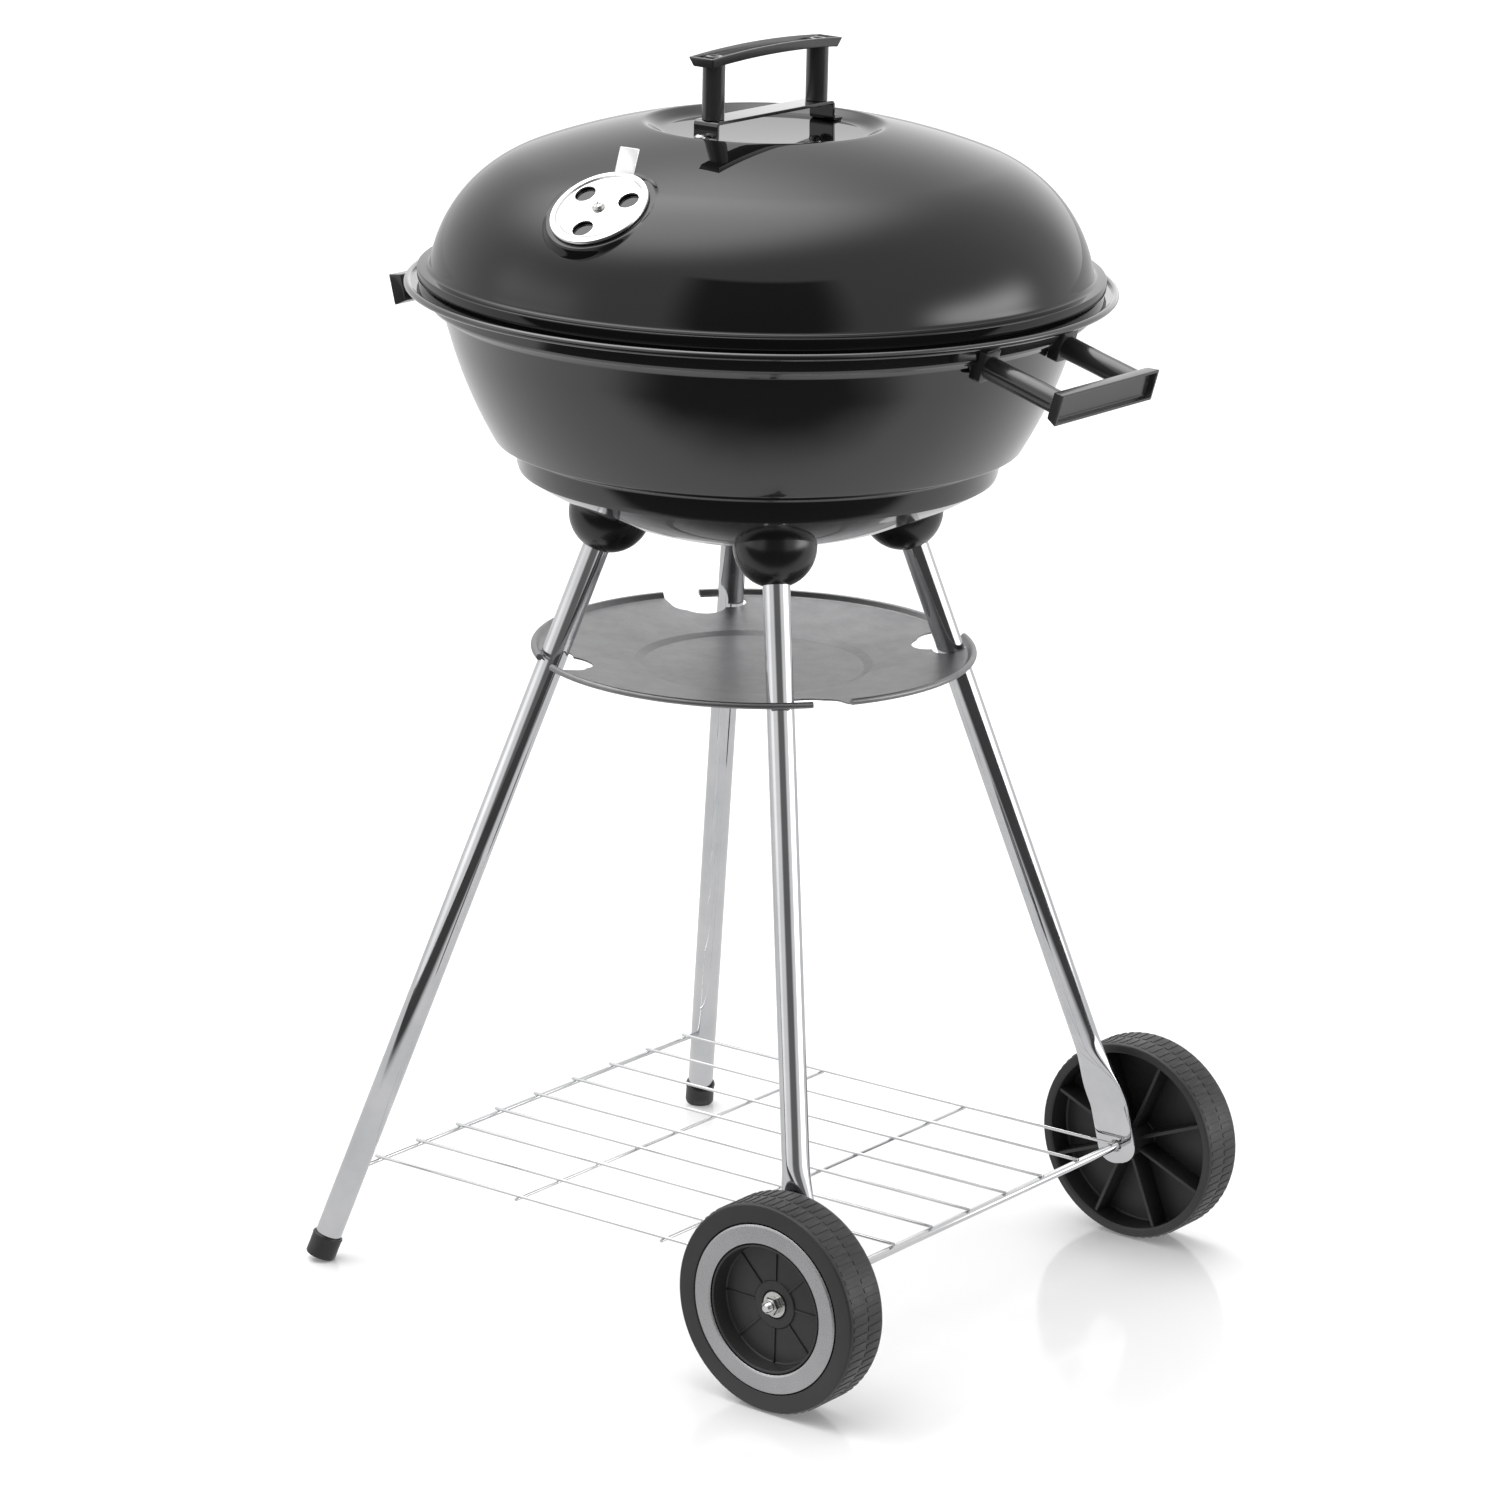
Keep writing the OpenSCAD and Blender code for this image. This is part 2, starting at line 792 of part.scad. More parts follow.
module foot_cap_right() {
    foot_cap(2);
}

module foot_cap_left() {
    foot_cap(3);
}

// ---------------------------------------------------------------- ash tray

// one bayonet slot: a leg at its clockwise end, its mouth at the other
module tray_slot() {
    union() {
        translate([tray_leg_r, 0])
            circle(r = tray_seat_r, $fn = 48);
        rotate([0, 0, 9])
            translate([tray_leg_r - 4.7, 0])
                circle(r = 15, $fn = 48);
        rotate([0, 0, tray_gap_mid])
            translate([tray_leg_r - 1.2, 0])
                circle(r = 12, $fn = 48);
        ring_sector(tray_leg_r - tray_seat_r, tray_leg_r + tray_seat_r, 0, tray_gap_mid);
        ring_sector(tray_leg_r - 4, tray_r + 5, tray_gap_a0, tray_gap_a1);
    }
}

module ash_tray() {
    bead = tray_r - tray_bead_r;
    color("#8f9092")
        difference() {
            translate([0, 0, tray_z])
                union() {
                    rotate_extrude($fn = round_fn)
                        polygon([[0, -11.5], [tray_floor_r, -11.5], [tray_floor_r + 4, -9.4],
                            [bead - 3, -1.2], [bead - 0.6, -0.3], [bead - 0.6, -0.3 - tray_t],
                            [bead - 3, -1.2 - tray_t], [tray_floor_r + 4, -9.4 - tray_t],
                            [tray_floor_r, -11.5 - tray_t], [0, -11.5 - tray_t]]);
                    rotate_extrude($fn = round_fn)
                        translate([bead, 0])
                            circle(r = tray_bead_r, $fn = 24);
                }
            for (i = [0:3])
                rotate([0, 0, 45 + 90 * i])
                    translate([0, 0, tray_z - 30])
                        linear_extrude(height = 60)
                            tray_slot();
        }
}

// ---------------------------------------------------------------- shelf, axle and wheels

function wire_z(x) = wire_z0 + (wire_z1 - wire_z0) * (x - rod_x) / (axle_x - rod_x);

module wire_shelf() {
    half = (shelf_wires - 1) / 2;
    slope = atan((wire_z1 - wire_z0) / (axle_x - rod_x));
    run = (axle_x - rod_x) / cos(slope) + 2 * wire_over;
    color("silver")
        union() {
            translate([rod_x, -178, rod_z])
                rotate([-90, 0, 0])
                    cylinder(r = rod_r, h = 356, $fn = 32);
            for (i = [-half:half])
                translate([rod_x, i * shelf_pitch, wire_z0])
                    rotate([0, 90 - slope, 0])
                        translate([0, 0, -wire_over])
                            cylinder(r = wire_r, h = run, $fn = 24);
            for (k = [1, 2]) {
                x = rod_x + (axle_x - rod_x) * k / 3;
                translate([x, -half * shelf_pitch - wire_over, wire_z(x) - 2 * wire_r + 0.2])
                    rotate([-90, 0, 0])
                        cylinder(r = wire_r, h = 2 * (half * shelf_pitch + wire_over), $fn = 24);
            }
        }
}

// turns a shape drawn with +Z outwards to lie along the axle on one side
module on_axle(side) {
    translate([axle_x, 0, axle_z])
        rotate([-side * 90, 0, 0])
            children();
}

module axle() {
    color("silver")
        union() {
            for (side = [-1, 1])
                on_axle(side) {
                    cylinder(r = axle_r, h = tab_y + 2, $fn = 48);
                    translate([0, 0, tab_y + 1.5])
                        cylinder(r = thread_r, h = axle_half - tab_y - 1.5, $fn = 48);
                }
        }
}

module wheel(side) {
    color("#2b2b2d")
        on_axle(side)
            difference() {
                union() {
                    translate([0, 0, wheel_in])
                        rotate_extrude($fn = round_fn)
                            polygon([[0, web_in], [wheel_r - 7, web_in], [wheel_r - 7, 0], [wheel_r - 1, 0],
                                [wheel_r, 1], [wheel_r, wheel_w - 1], [wheel_r - 1, wheel_w],
                                [trim_out + 0.5, wheel_w], [trim_out + 0.5, wheel_w - 2.4],
                                [trim_in - 0.5, wheel_w - 2.4], [trim_in - 0.5, hub_out - wheel_in],
                                [0, hub_out - wheel_in]]);
                    translate([0, 0, hub_in])
                        cylinder(r = hub_r, h = hub_out - hub_in, $fn = 64);
                    for (i = [0:7])
                        rotate([0, 0, 45 * i + 22.5])
                            translate([hub_r - 1, -1.1, wheel_in + 6])
                                cube([wheel_r - 8 - hub_r + 2, 2.2, web_in - 5]);
                }
                translate([0, 0, hub_in - 1])
                    cylinder(r = thread_r + 0.06, h = 60, $fn = 48);
            }
}

module wheel_right() {
    wheel(-1);
}

module wheel_left() {
    wheel(1);
}

module trim_ring(side) {
    color("#c9cacc")
        on_axle(side)
            translate([0, 0, wheel_in + wheel_w - 2.4 + gap])
                rotate_extrude($fn = round_fn)
                    polygon([[trim_in, 0], [trim_out, 0], [trim_out, 2.4], [trim_out - 1.2, 2.9],
                        [trim_in + 1.2, 2.9], [trim_in, 2.4]]);
}

module trim_ring_right() {
    trim_ring(-1);
}

module trim_ring_left() {
    trim_ring(1);
}

module washers(at) {
    color("silver")
        for (side = [-1, 1])
            on_axle(side)
                translate([0, 0, at])
                    difference() {
                        cylinder(r = washer_r, h = washer_t, $fn = 48);
                        translate([0, 0, -1])
                            cylinder(r = thread_r + 0.2, h = washer_t + 2, $fn = 48);
                    }
}

module axle_inner_washers() {
    washers(tab_y + tab_t / 2 + 0.3);
}

module axle_outer_washers() {
    washers(hub_out + 0.3);
}

module hub_nuts() {
    color("silver")
        for (side = [-1, 1])
            on_axle(side)
                translate([0, 0, hub_out + 0.4 + washer_t + 5])
                    nut(10, 5, thread_r + 0.03);
}

lid_shell();
lid_handle();
lid_handle_bracket();
lid_handle_screws();
lid_bracket_screws();
lid_bracket_nuts();
lid_vent_damper();
lid_vent_screw();
lid_vent_nut();
bowl_shell();
side_handle_wheel_end();
side_handle_foot_end();
side_handle_screws();
cooking_grate_ring();
cooking_grate_bars();
charcoal_grate_ring();
charcoal_grate_bars();
bottom_vent_damper();
bottom_vent_screw();
bottom_vent_nut();
leg_cup_wheel_right();
leg_cup_wheel_left();
leg_cup_foot_right();
leg_cup_foot_left();
leg_wheel_right();
leg_wheel_left();
leg_foot_right();
leg_foot_left();
leg_plugs();
leg_bolts();
foot_cap_right();
foot_cap_left();
ash_tray();
wire_shelf();
axle();
wheel_right();
wheel_left();
trim_ring_right();
trim_ring_left();
axle_inner_washers();
axle_outer_washers();
hub_nuts();
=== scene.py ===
import json
import math

import bmesh
import bpy
from mathutils import Matrix, Vector


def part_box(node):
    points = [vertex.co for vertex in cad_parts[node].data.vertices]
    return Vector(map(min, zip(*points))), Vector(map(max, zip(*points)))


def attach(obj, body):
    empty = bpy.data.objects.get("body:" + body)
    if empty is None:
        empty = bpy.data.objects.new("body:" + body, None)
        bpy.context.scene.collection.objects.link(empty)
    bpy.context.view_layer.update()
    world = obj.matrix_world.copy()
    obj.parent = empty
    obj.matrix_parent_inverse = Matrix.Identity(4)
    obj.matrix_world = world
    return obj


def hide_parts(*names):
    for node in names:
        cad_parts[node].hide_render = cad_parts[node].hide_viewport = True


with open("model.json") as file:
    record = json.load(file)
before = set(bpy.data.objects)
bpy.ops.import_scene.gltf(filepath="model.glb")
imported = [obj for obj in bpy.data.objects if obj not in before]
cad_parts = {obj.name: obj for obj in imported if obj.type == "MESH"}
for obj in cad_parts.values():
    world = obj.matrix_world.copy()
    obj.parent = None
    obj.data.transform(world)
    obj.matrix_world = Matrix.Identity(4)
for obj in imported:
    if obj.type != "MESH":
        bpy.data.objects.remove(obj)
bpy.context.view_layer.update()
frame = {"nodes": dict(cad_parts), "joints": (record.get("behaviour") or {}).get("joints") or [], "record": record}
joints = {j["name"]: j for j in frame["joints"]}

# Every size below is in millimetres, in the CAD frame. Meshes are scaled to metres once, in place().
MM = 0.001


def high(node):
    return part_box(node)[1] / MM


def low(node):
    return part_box(node)[0] / MM


# ------------------------------------------------------------------ driving sizes

SHEET = 1.5
RIM_R = min(high("bowl_shell").x, high("bowl_shell").y)
BEAD_R = 2.2
BEAD_Z = high("bowl_shell").z - BEAD_R
RIM_TOP = BEAD_Z - 0.4
COLLAR_R = RIM_R - 15
DISH_R = 276
DISH_CZ = 750
PAD_Z = low("bowl_shell").z
LIP_R = RIM_R - 8
LIP_Z = RIM_TOP + 4.4
SKIRT_R = RIM_R - 9.5
SKIRT_Z = RIM_TOP + 0.05
CROWN_R = 418
SHOULDER_R = 89
CROWN_END = math.radians(20.74)
RECESS_R = 71
RECESS_Z = 734
FLOOR_Z = low("lid_handle_bracket").z - 0.05
CROWN_CZ = RECESS_Z - math.sqrt(CROWN_R ** 2 - RECESS_R ** 2)
SHOULDER_CR = (CROWN_R - SHOULDER_R) * math.sin(CROWN_END)
SHOULDER_CZ = CROWN_CZ + (CROWN_R - SHOULDER_R) * math.cos(CROWN_END)
VENT_PAD_R = 34
DAMPER_R = 31
HOLE_R = 6.5
HOLES_AT = 18.5
LEG_R = 8.5
LEG_TOP = Vector((75.5, 75, 450))
CUP_R = high("leg_cup_wheel_left").x - 0.5 * (high("leg_cup_wheel_left").x + low("leg_cup_wheel_left").x)
CUP_AT = 42.3
AXLE = Vector(joints["wheel_right_spin"]["pos_m"]) / MM
WHEEL_R = AXLE.z
WHEEL_IN = low("wheel_left").y
WHEEL_FACE = high("wheel_left").y
TRAY_Z = 401.7
TRAY_R = high("ash_tray").x
TRAY_LEG_R = (LEG_TOP.x + LEG_TOP.y) / math.sqrt(2) + 0.3691 * (LEG_TOP.z - TRAY_Z)


# ------------------------------------------------------------------ outlines

def arc(cx, cy, r, a0, a1, n):
    """Points round (cx, cy), angles in degrees."""
    steps = [math.radians(a0 + (a1 - a0) * i / n) for i in range(n + 1)]
    return [(cx + r * math.cos(a), cy + r * math.sin(a)) for a in steps]


def soften(points, steps=5, same_count=False):
    """Rounds the corners of a closed outline. A point may carry its own radius as a third number."""
    out = []
    count = len(points)
    for i, p in enumerate(points):
        radius = p[2] if len(p) > 2 else 0
        if radius <= 0:
            out.append((p[0], p[1]))
            continue
        here = Vector(p[:2])
        back = Vector(points[i - 1][:2]) - here
        on = Vector(points[(i + 1) % count][:2]) - here
        half = max(back.angle(on, 0) / 2, 0.02)
        if half > math.pi / 2 - 0.02 and not same_count:
            out.append((here.x, here.y))
            continue
        cut = min(radius / math.tan(half), back.length * 0.48, on.length * 0.48)
        a = here + back.normalized() * cut
        b = here + on.normalized() * cut
        for k in range(steps + 1):
            t = k / steps
            q = a * (1 - t) ** 2 + here * 2 * t * (1 - t) + b * t ** 2
            out.append((q.x, q.y))
    return out


def bowl_path(s):
    """The bowl's sheet from the bottom up, s inside its outer face."""
    return ([(0, PAD_Z + s), (36 - s / 2, PAD_Z + s, 6)]
            + arc(0, DISH_CZ, DISH_R - s, -81, -57.4, 28)
            + [(149.8 - s, 521), (149.8 - s, 531.5 + s, 2.2), (164 - s, 536.8 + s, 2.4)]
            + arc(-77.6, 679.6, 280.6 - s, -29.8, -16.2, 24)
            + [(RIM_R - 23.9 - s, 615.4 + s / 3, 2.5), (RIM_R - 21.2 - s * 0.8, 618.8 + s, 2),
               (COLLAR_R - 1.3 - s * 0.8, 619.9 + s, 1.5), (COLLAR_R - s, 622 + s, 1.5)])


def lid_path(s):
    """The lid's sheet from the middle out, s inside its outer face."""
    crown_start = 90 - math.degrees(math.asin((RECESS_R + 8 + s) / CROWN_R))
    crown_stop = 90 - math.degrees(CROWN_END)
    return ([(0, FLOOR_Z - s), (RECESS_R - 6.5 + s * 0.4, FLOOR_Z - s, 15),
             (RECESS_R + 3 + s * 0.6, RECESS_Z - 0.6 - s, 16)]
            + arc(0, CROWN_CZ, CROWN_R - s, crown_start, crown_stop, 24)
            + arc(SHOULDER_CR, SHOULDER_CZ, SHOULDER_R - s, crown_stop - 2, 12, 44))


def dome_z(r):
    """Height of the lid's outer face at the radius r, outside the recess."""
    shoulder_start = CROWN_R * math.sin(CROWN_END)
    if r < shoulder_start:
        return CROWN_CZ + math.sqrt(CROWN_R ** 2 - r ** 2)
    return SHOULDER_CZ + math.sqrt(max(SHOULDER_R ** 2 - (r - SHOULDER_CR) ** 2, 0))


# ------------------------------------------------------------------ mesh helpers

def place(name, verts, faces, at, paint, body, slot, nodes=(), sharp=32):
    """Makes a piece from points in millimetres, put in place by the matrix at."""
    mesh = bpy.data.meshes.new(name)
    mesh.from_pydata([(at @ Vector(v)) * MM for v in verts], [], faces)
    mesh.validate()
    bm = bmesh.new()
    bm.from_mesh(mesh)
    bmesh.ops.remove_doubles(bm, verts=bm.verts, dist=1e-6)
    bmesh.ops.recalc_face_normals(bm, faces=bm.faces)
    bm.to_mesh(mesh)
    bm.free()
    mesh.shade_smooth()
    mesh.set_sharp_from_angle(angle=math.radians(sharp))
    piece = bpy.data.objects.new(name, mesh)
    bpy.context.scene.collection.objects.link(piece)
    mesh.materials.append(paint)
    if body:
        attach(piece, body)
        if nodes:
            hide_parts(*nodes)
    return piece


def ring_faces(rows, count, wrap_rows):
    """Quads between rows of count points each."""
    faces = []
    for i in range(rows if wrap_rows else rows - 1):
        for k in range(count):
            a, b = i * count, ((i + 1) % rows) * count
            j = (k + 1) % count
            faces.append((a + k, a + j, b + j, b + k))
    return faces


def turned_mesh(outline, segments=128):
    """A closed outline of (radius, height) points, turned round local Z."""
    spins = [math.tau * k / segments for k in range(segments)]
    verts = [(r * math.cos(a), r * math.sin(a), z) for r, z in outline for a in spins]
    return verts, ring_faces(len(outline), segments, True)


def loft_mesh(sections):
    """Closed loops of equal length joined in order, with flat ends."""
    count = len(sections[0])
    verts = [p for loop in sections for p in loop]
    faces = ring_faces(len(sections), count, False)
    faces.append(tuple(range(count)))
    faces.append(tuple(range(len(verts) - count, len(verts))))
    return verts, faces


def slab_mesh(outline, z0, z1, edge=0.3):
    """A flat outline made thick along local Z, its edges rounded by edge."""
    count = len(outline)
    pts = [Vector(p) for p in outline]
    area = sum(a.x * b.y - b.x * a.y for a, b in zip(pts, pts[1:] + pts[:1]))
    turn = 1 if area > 0 else -1
    pulls = []
    for i, p in enumerate(pts):
        d0 = (p - pts[i - 1]).normalized()
        d1 = (pts[(i + 1) % count] - p).normalized()
        n = Vector((-(d0.y + d1.y), d0.x + d1.x)) * turn
        pulls.append(n.normalized() if n.length > 1e-9 else Vector((0, 0)))
    sections = []
    for depth, z in ((edge, z0), (edge * 0.3, z0 + edge * 0.3), (0, z0 + edge),
                     (0, z1 - edge), (edge * 0.3, z1 - edge * 0.3), (edge, z1)):
        sections.append([((p + n * depth).x, (p + n * depth).y, z) for p, n in zip(pts, pulls)])
    return loft_mesh(sections)


def rod_mesh(path, radius, segments=20, round_end=0.25):
    """A round bar along straight or gently curved points, with softened ends."""
    pts = [Vector(p) for p in path]
    heading = (pts[-1] - pts[0]).normalized()
    up = Vector((0, 0, 1)) if abs(heading.z) < 0.9 else Vector((1, 0, 0))
    side = heading.cross(up).normalized()
    top = side.cross(heading).normalized()
    trim = radius * round_end
    rows = [(pts[0], radius - trim), (pts[0] + heading * trim * 0.3, radius - trim * 0.3)]
    rows.append((pts[0] + heading * trim, radius))
    rows += [(p, radius) for p in pts[1:-1]]
    rows.append((pts[-1] - heading * trim, radius))
    rows += [(pts[-1] - heading * trim * 0.3, radius - trim * 0.3), (pts[-1], radius - trim)]
    sections = []
    for centre, r in rows:
        spins = [math.tau * k / segments for k in range(segments)]
        sections.append([tuple(centre + side * r * math.cos(a) + top * r * math.sin(a)) for a in spins])
    return loft_mesh(sections)


def merged(parts):
    """Several (verts, faces) meshes as one."""
    verts, faces = [], []
    for v, f in parts:
        start = len(verts)
        verts += v
        faces += [tuple(start + i for i in face) for face in f]
    return verts, faces


def moved(part, matrix):
    return [tuple(matrix @ Vector(v)) for v in part[0]], part[1]


def carve(piece, cutter_parts, at):
    """Cuts closed meshes out of a piece, for good."""
    cutter = place("cutter", *merged(cutter_parts), at, piece.data.materials[0], None, None)
    cut = piece.modifiers.new("cut", "BOOLEAN")
    cut.operation = "DIFFERENCE"
    cut.solver = "EXACT"
    cut.object = cutter
    graph = bpy.context.evaluated_depsgraph_get()
    mesh = bpy.data.meshes.new_from_object(piece.evaluated_get(graph))
    piece.modifiers.clear()
    old = piece.data
    piece.data = mesh
    bpy.data.meshes.remove(old)
    bpy.data.objects.remove(cutter)
    mesh.shade_smooth()
    mesh.set_sharp_from_angle(angle=math.radians(32))
    return piece


def cylinder_mesh(r, z0, z1, segments=48):
    spins = [math.tau * k / segments for k in range(segments)]
    return loft_mesh([[(r * math.cos(a), r * math.sin(a), z) for a in spins] for z in (z0, z1)])


HERE = Matrix.Identity(4)


def shift(x, y, z):
    return Matrix.Translation((x, y, z))


def turn(degrees, axis):
    return Matrix.Rotation(math.radians(degrees), 4, axis)


# ------------------------------------------------------------------ materials

class Paint:
    """Builds one procedural material, node by node."""

    def __init__(self, name, metallic=0.0, coat=0.0, coat_roughness=0.03, specular=0.5):
        self.material = bpy.data.materials.new(name)
        self.material.use_nodes = True
        self.tree = self.material.node_tree
        self.shader = self.tree.nodes["Principled BSDF"]
        self.shader.inputs["Metallic"].default_value = metallic
        self.shader.inputs["Coat Weight"].default_value = coat
        self.shader.inputs["Coat Roughness"].default_value = coat_roughness
        self.shader.inputs["Specular IOR Level"].default_value = specular
        self.coords = self.tree.nodes.new("ShaderNodeTexCoord").outputs["Object"]
        self.normal = None

    def link(self, a, b):
        self.tree.links.new(a, b)

    def stretched(self, scale):
        node = self.tree.nodes.new("ShaderNodeMapping")
        node.inputs["Scale"].default_value = scale
        self.link(self.coords, node.inputs["Vector"])
        return node.outputs["Vector"]

    def noise(self, scale, detail=3.0, roughness=0.5, vector=None):
        node = self.tree.nodes.new("ShaderNodeTexNoise")
        node.inputs["Scale"].default_value = scale
        node.inputs["Detail"].default_value = detail
        node.inputs["Roughness"].default_value = roughness
        self.link(vector or self.coords, node.inputs["Vector"])
        return node.outputs["Fac"]

    def cells(self, scale):
        node = self.tree.nodes.new("ShaderNodeTexVoronoi")
        node.inputs["Scale"].default_value = scale
        self.link(self.coords, node.inputs["Vector"])
        split = self.tree.nodes.new("ShaderNodeSeparateColor")
        self.link(node.outputs["Color"], split.inputs["Color"])
        return split.outputs["Red"]

    def spread(self, value, low, high):
        """Stretches a noise, which mostly lies from 0.3 to 0.7, over low to high."""
        node = self.tree.nodes.new("ShaderNodeMapRange")
        self.link(value, node.inputs["Value"])
        node.inputs["From Min"].default_value = 0.3
        node.inputs["From Max"].default_value = 0.7
        node.inputs["To Min"].default_value = low
        node.inputs["To Max"].default_value = high
        return node.outputs["Result"]

    def blend(self, value, dark, light):
        node = self.tree.nodes.new("ShaderNodeMix")
        node.data_type = "RGBA"
        self.link(value, node.inputs["Factor"])
        node.inputs["A"].default_value = (*dark, 1)
        node.inputs["B"].default_value = (*light, 1)
        return node.outputs["Result"]

    def tint(self, value, dark, light):
        self.link(self.blend(value, dark, light), self.shader.inputs["Base Color"])

    def rough(self, value, low, high):
        self.link(self.spread(value, low, high), self.shader.inputs["Roughness"])

    def bump(self, height, distance):
        node = self.tree.nodes.new("ShaderNodeBump")
        node.inputs["Distance"].default_value = distance
        node.inputs["Strength"].default_value = 1.0
        self.link(height, node.inputs["Height"])
        if self.normal:
            self.link(self.normal, node.inputs["Normal"])
        self.normal = node.outputs["Normal"]
        self.link(self.normal, self.shader.inputs["Normal"])


def enamel(name, level, rough_low, rough_high, ripple, under=0.5):
    """Fired porcelain enamel: a clear glassy coat with slight orange peel; under is the shine below the coat."""
    p = Paint(name, coat=1.0, coat_roughness=0.02, specular=under)
    p.tint(p.spread(p.noise(9, 4), 0, 1), (level * 0.8,) * 3, (level * 1.3, level * 1.3, level * 1.38))
    p.rough(p.noise(30, 5), rough_low, rough_high)
    p.bump(p.noise(55, 2), ripple)
    p.bump(p.noise(420, 2), ripple * 0.12)
    return p.material


def moulded(name, level, rough_low, rough_high, grain, distance, coat=0.0):
    """Moulded plastic: fine spark grain, flow marks and soft shine."""
    p = Paint(name, coat=coat, coat_roughness=0.12)
    p.tint(p.spread(p.noise(14, 6), 0, 1), (level * 0.75,) * 3, (level * 1.35,) * 3)
    p.rough(p.noise(70, 4), rough_low, rough_high)
    p.bump(p.noise(grain, 3, 0.6), distance)
    p.bump(p.noise(26, 2), distance * 1.6)
    return p.material


def plated(name, dark, light, rough_low, rough_high, wave, streak=(1, 1, 1)):
    """Bright plating: mirror-like, with faint polishing streaks and small haze."""
    p = Paint(name, metallic=1.0)
    along = p.stretched(streak)
    p.tint(p.spread(p.noise(22, 5, 0.6), 0, 1), dark, light)
    p.rough(p.noise(140, 5, 0.65, along), rough_low, rough_high)
    p.bump(p.noise(34, 2), wave)
    p.bump(p.noise(700, 3, 0.6, along), wave * 0.08)
    return p.material


def galvanised(name, dark, light, rough_low, rough_high, spangle):
    """Zinc-coated sheet: dull crystals over a lightly rolled surface."""
    p = Paint(name, metallic=1.0)
    crystal = p.cells(spangle)
    cloud = p.noise(16, 5, 0.6)
    p.tint(p.spread(cloud, 0, 1), dark, light)
    p.rough(crystal, rough_low, rough_high)
    p.bump(crystal, 0.00003)
    p.bump(p.noise(500, 3, 0.6, p.stretched((1, 0.06, 1))), 0.00002)
    return p.material


def satin(name, dark, light, rough_low, rough_high):
    """Dull zinc sheet: a fine even grain with very soft clouds."""
    p = Paint(name, metallic=1.0)
    grain = p.noise(1500, 3, 0.6)
    p.tint(p.spread(p.noise(60, 6, 0.7), 0, 1), dark, light)
    p.rough(grain, rough_low, rough_high)
    p.bump(grain, 0.00002)
    p.bump(p.noise(30, 2), 0.00003)
    return p.material


LID_ENAMEL = enamel("lid_enamel_look", 0.0055, 0.03, 0.07, 0.00006, under=0.0)
BOWL_ENAMEL = enamel("bowl_enamel_look", 0.011, 0.10, 0.18, 0.00005)
BRACKET_PAINT = enamel("bracket_paint_look", 0.012, 0.10, 0.2, 0.00004)
HANDLE_PLASTIC = moulded("handle_plastic_look", 0.04, 0.16, 0.26, 1400, 0.000012, coat=0.6)
CUP_PLASTIC = moulded("cup_plastic_look", 0.012, 0.22, 0.3, 600, 0.00001, coat=0.3)
FOOT_PLASTIC = moulded("foot_plastic_look", 0.014, 0.28, 0.42, 1200, 0.00003)
WHEEL_PLASTIC = moulded("wheel_plastic_look", 0.03, 0.36, 0.5, 1500, 0.00004)
LEG_CHROME = plated("leg_chrome_look", (0.62, 0.63, 0.65), (0.74, 0.74, 0.75), 0.03, 0.09, 0.00002,
                    streak=(1, 1, 0.05))
WIRE_CHROME = plated("wire_chrome_look", (0.66, 0.67, 0.68), (0.8, 0.8, 0.8), 0.08, 0.18, 0.00002)
GRATE_PLATE = plated("grate_plating_look", (0.5, 0.5, 0.5), (0.66, 0.66, 0.65), 0.16, 0.3, 0.00003)
DAMPER_CHROME = plated("damper_chrome_look", (0.84, 0.84, 0.84), (0.93, 0.93, 0.93), 0.16, 0.3, 0.00002)
ZINC = galvanised("zinc_fasteners_look", (0.55, 0.55, 0.54), (0.72, 0.72, 0.7), 0.14, 0.3, 900)
TRAY_ZINC = satin("tray_galvanised_look", (0.25, 0.25, 0.255), (0.32, 0.32, 0.325), 0.34, 0.46)
TRIM_SILVER = galvanised("trim_silver_look", (0.42, 0.42, 0.43), (0.5, 0.5, 0.51), 0.24, 0.34, 1600)

looks = {
    "lid_enamel": LID_ENAMEL, "bowl_enamel": BOWL_ENAMEL, "bracket_paint": BRACKET_PAINT,
    "handle_plastic": HANDLE_PLASTIC, "cup_plastic": CUP_PLASTIC, "leg_chrome": LEG_CHROME,
    "wire_chrome": WIRE_CHROME, "grate_plating": GRATE_PLATE, "damper_chrome": DAMPER_CHROME,
    "zinc_fasteners": ZINC, "foot_plastic": FOOT_PLASTIC, "tray_galvanised": TRAY_ZINC,
    "wheel_plastic": WHEEL_PLASTIC, "trim_silver": TRIM_SILVER,
}
slots = {s["node"]: s["material_slot"] for s in frame["record"]["subparts"]}
for node, obj in frame["nodes"].items():
    obj.data.materials.clear()
    obj.data.materials.append(looks[slots[node]])


def make(name, part, at, body, slot, nodes=(), sharp=32):
    """A finished piece in the look of a material slot."""
    return place(name, *part, at, looks[slot], body, slot, nodes, sharp)


# ------------------------------------------------------------------ lid

lid_outline = (lid_path(0)
               + [(LIP_R - 7.3, 643.2, 4.6), (LIP_R, 642.8, 0.9), (LIP_R, LIP_Z, 1.2), (SKIRT_R, LIP_Z),
                  (SKIRT_R, SKIRT_Z), (SKIRT_R - SHEET, SKIRT_Z),
                  (SKIRT_R - SHEET, LIP_Z + 3.5), (LIP_R - 8.9, LIP_Z + 5.2, 1)]
               + lid_path(SHEET)[::-1])
dome = make("lid_dome", turned_mesh(soften(lid_outline), 360), HERE, "lid", "lid_enamel", ["lid_shell"])

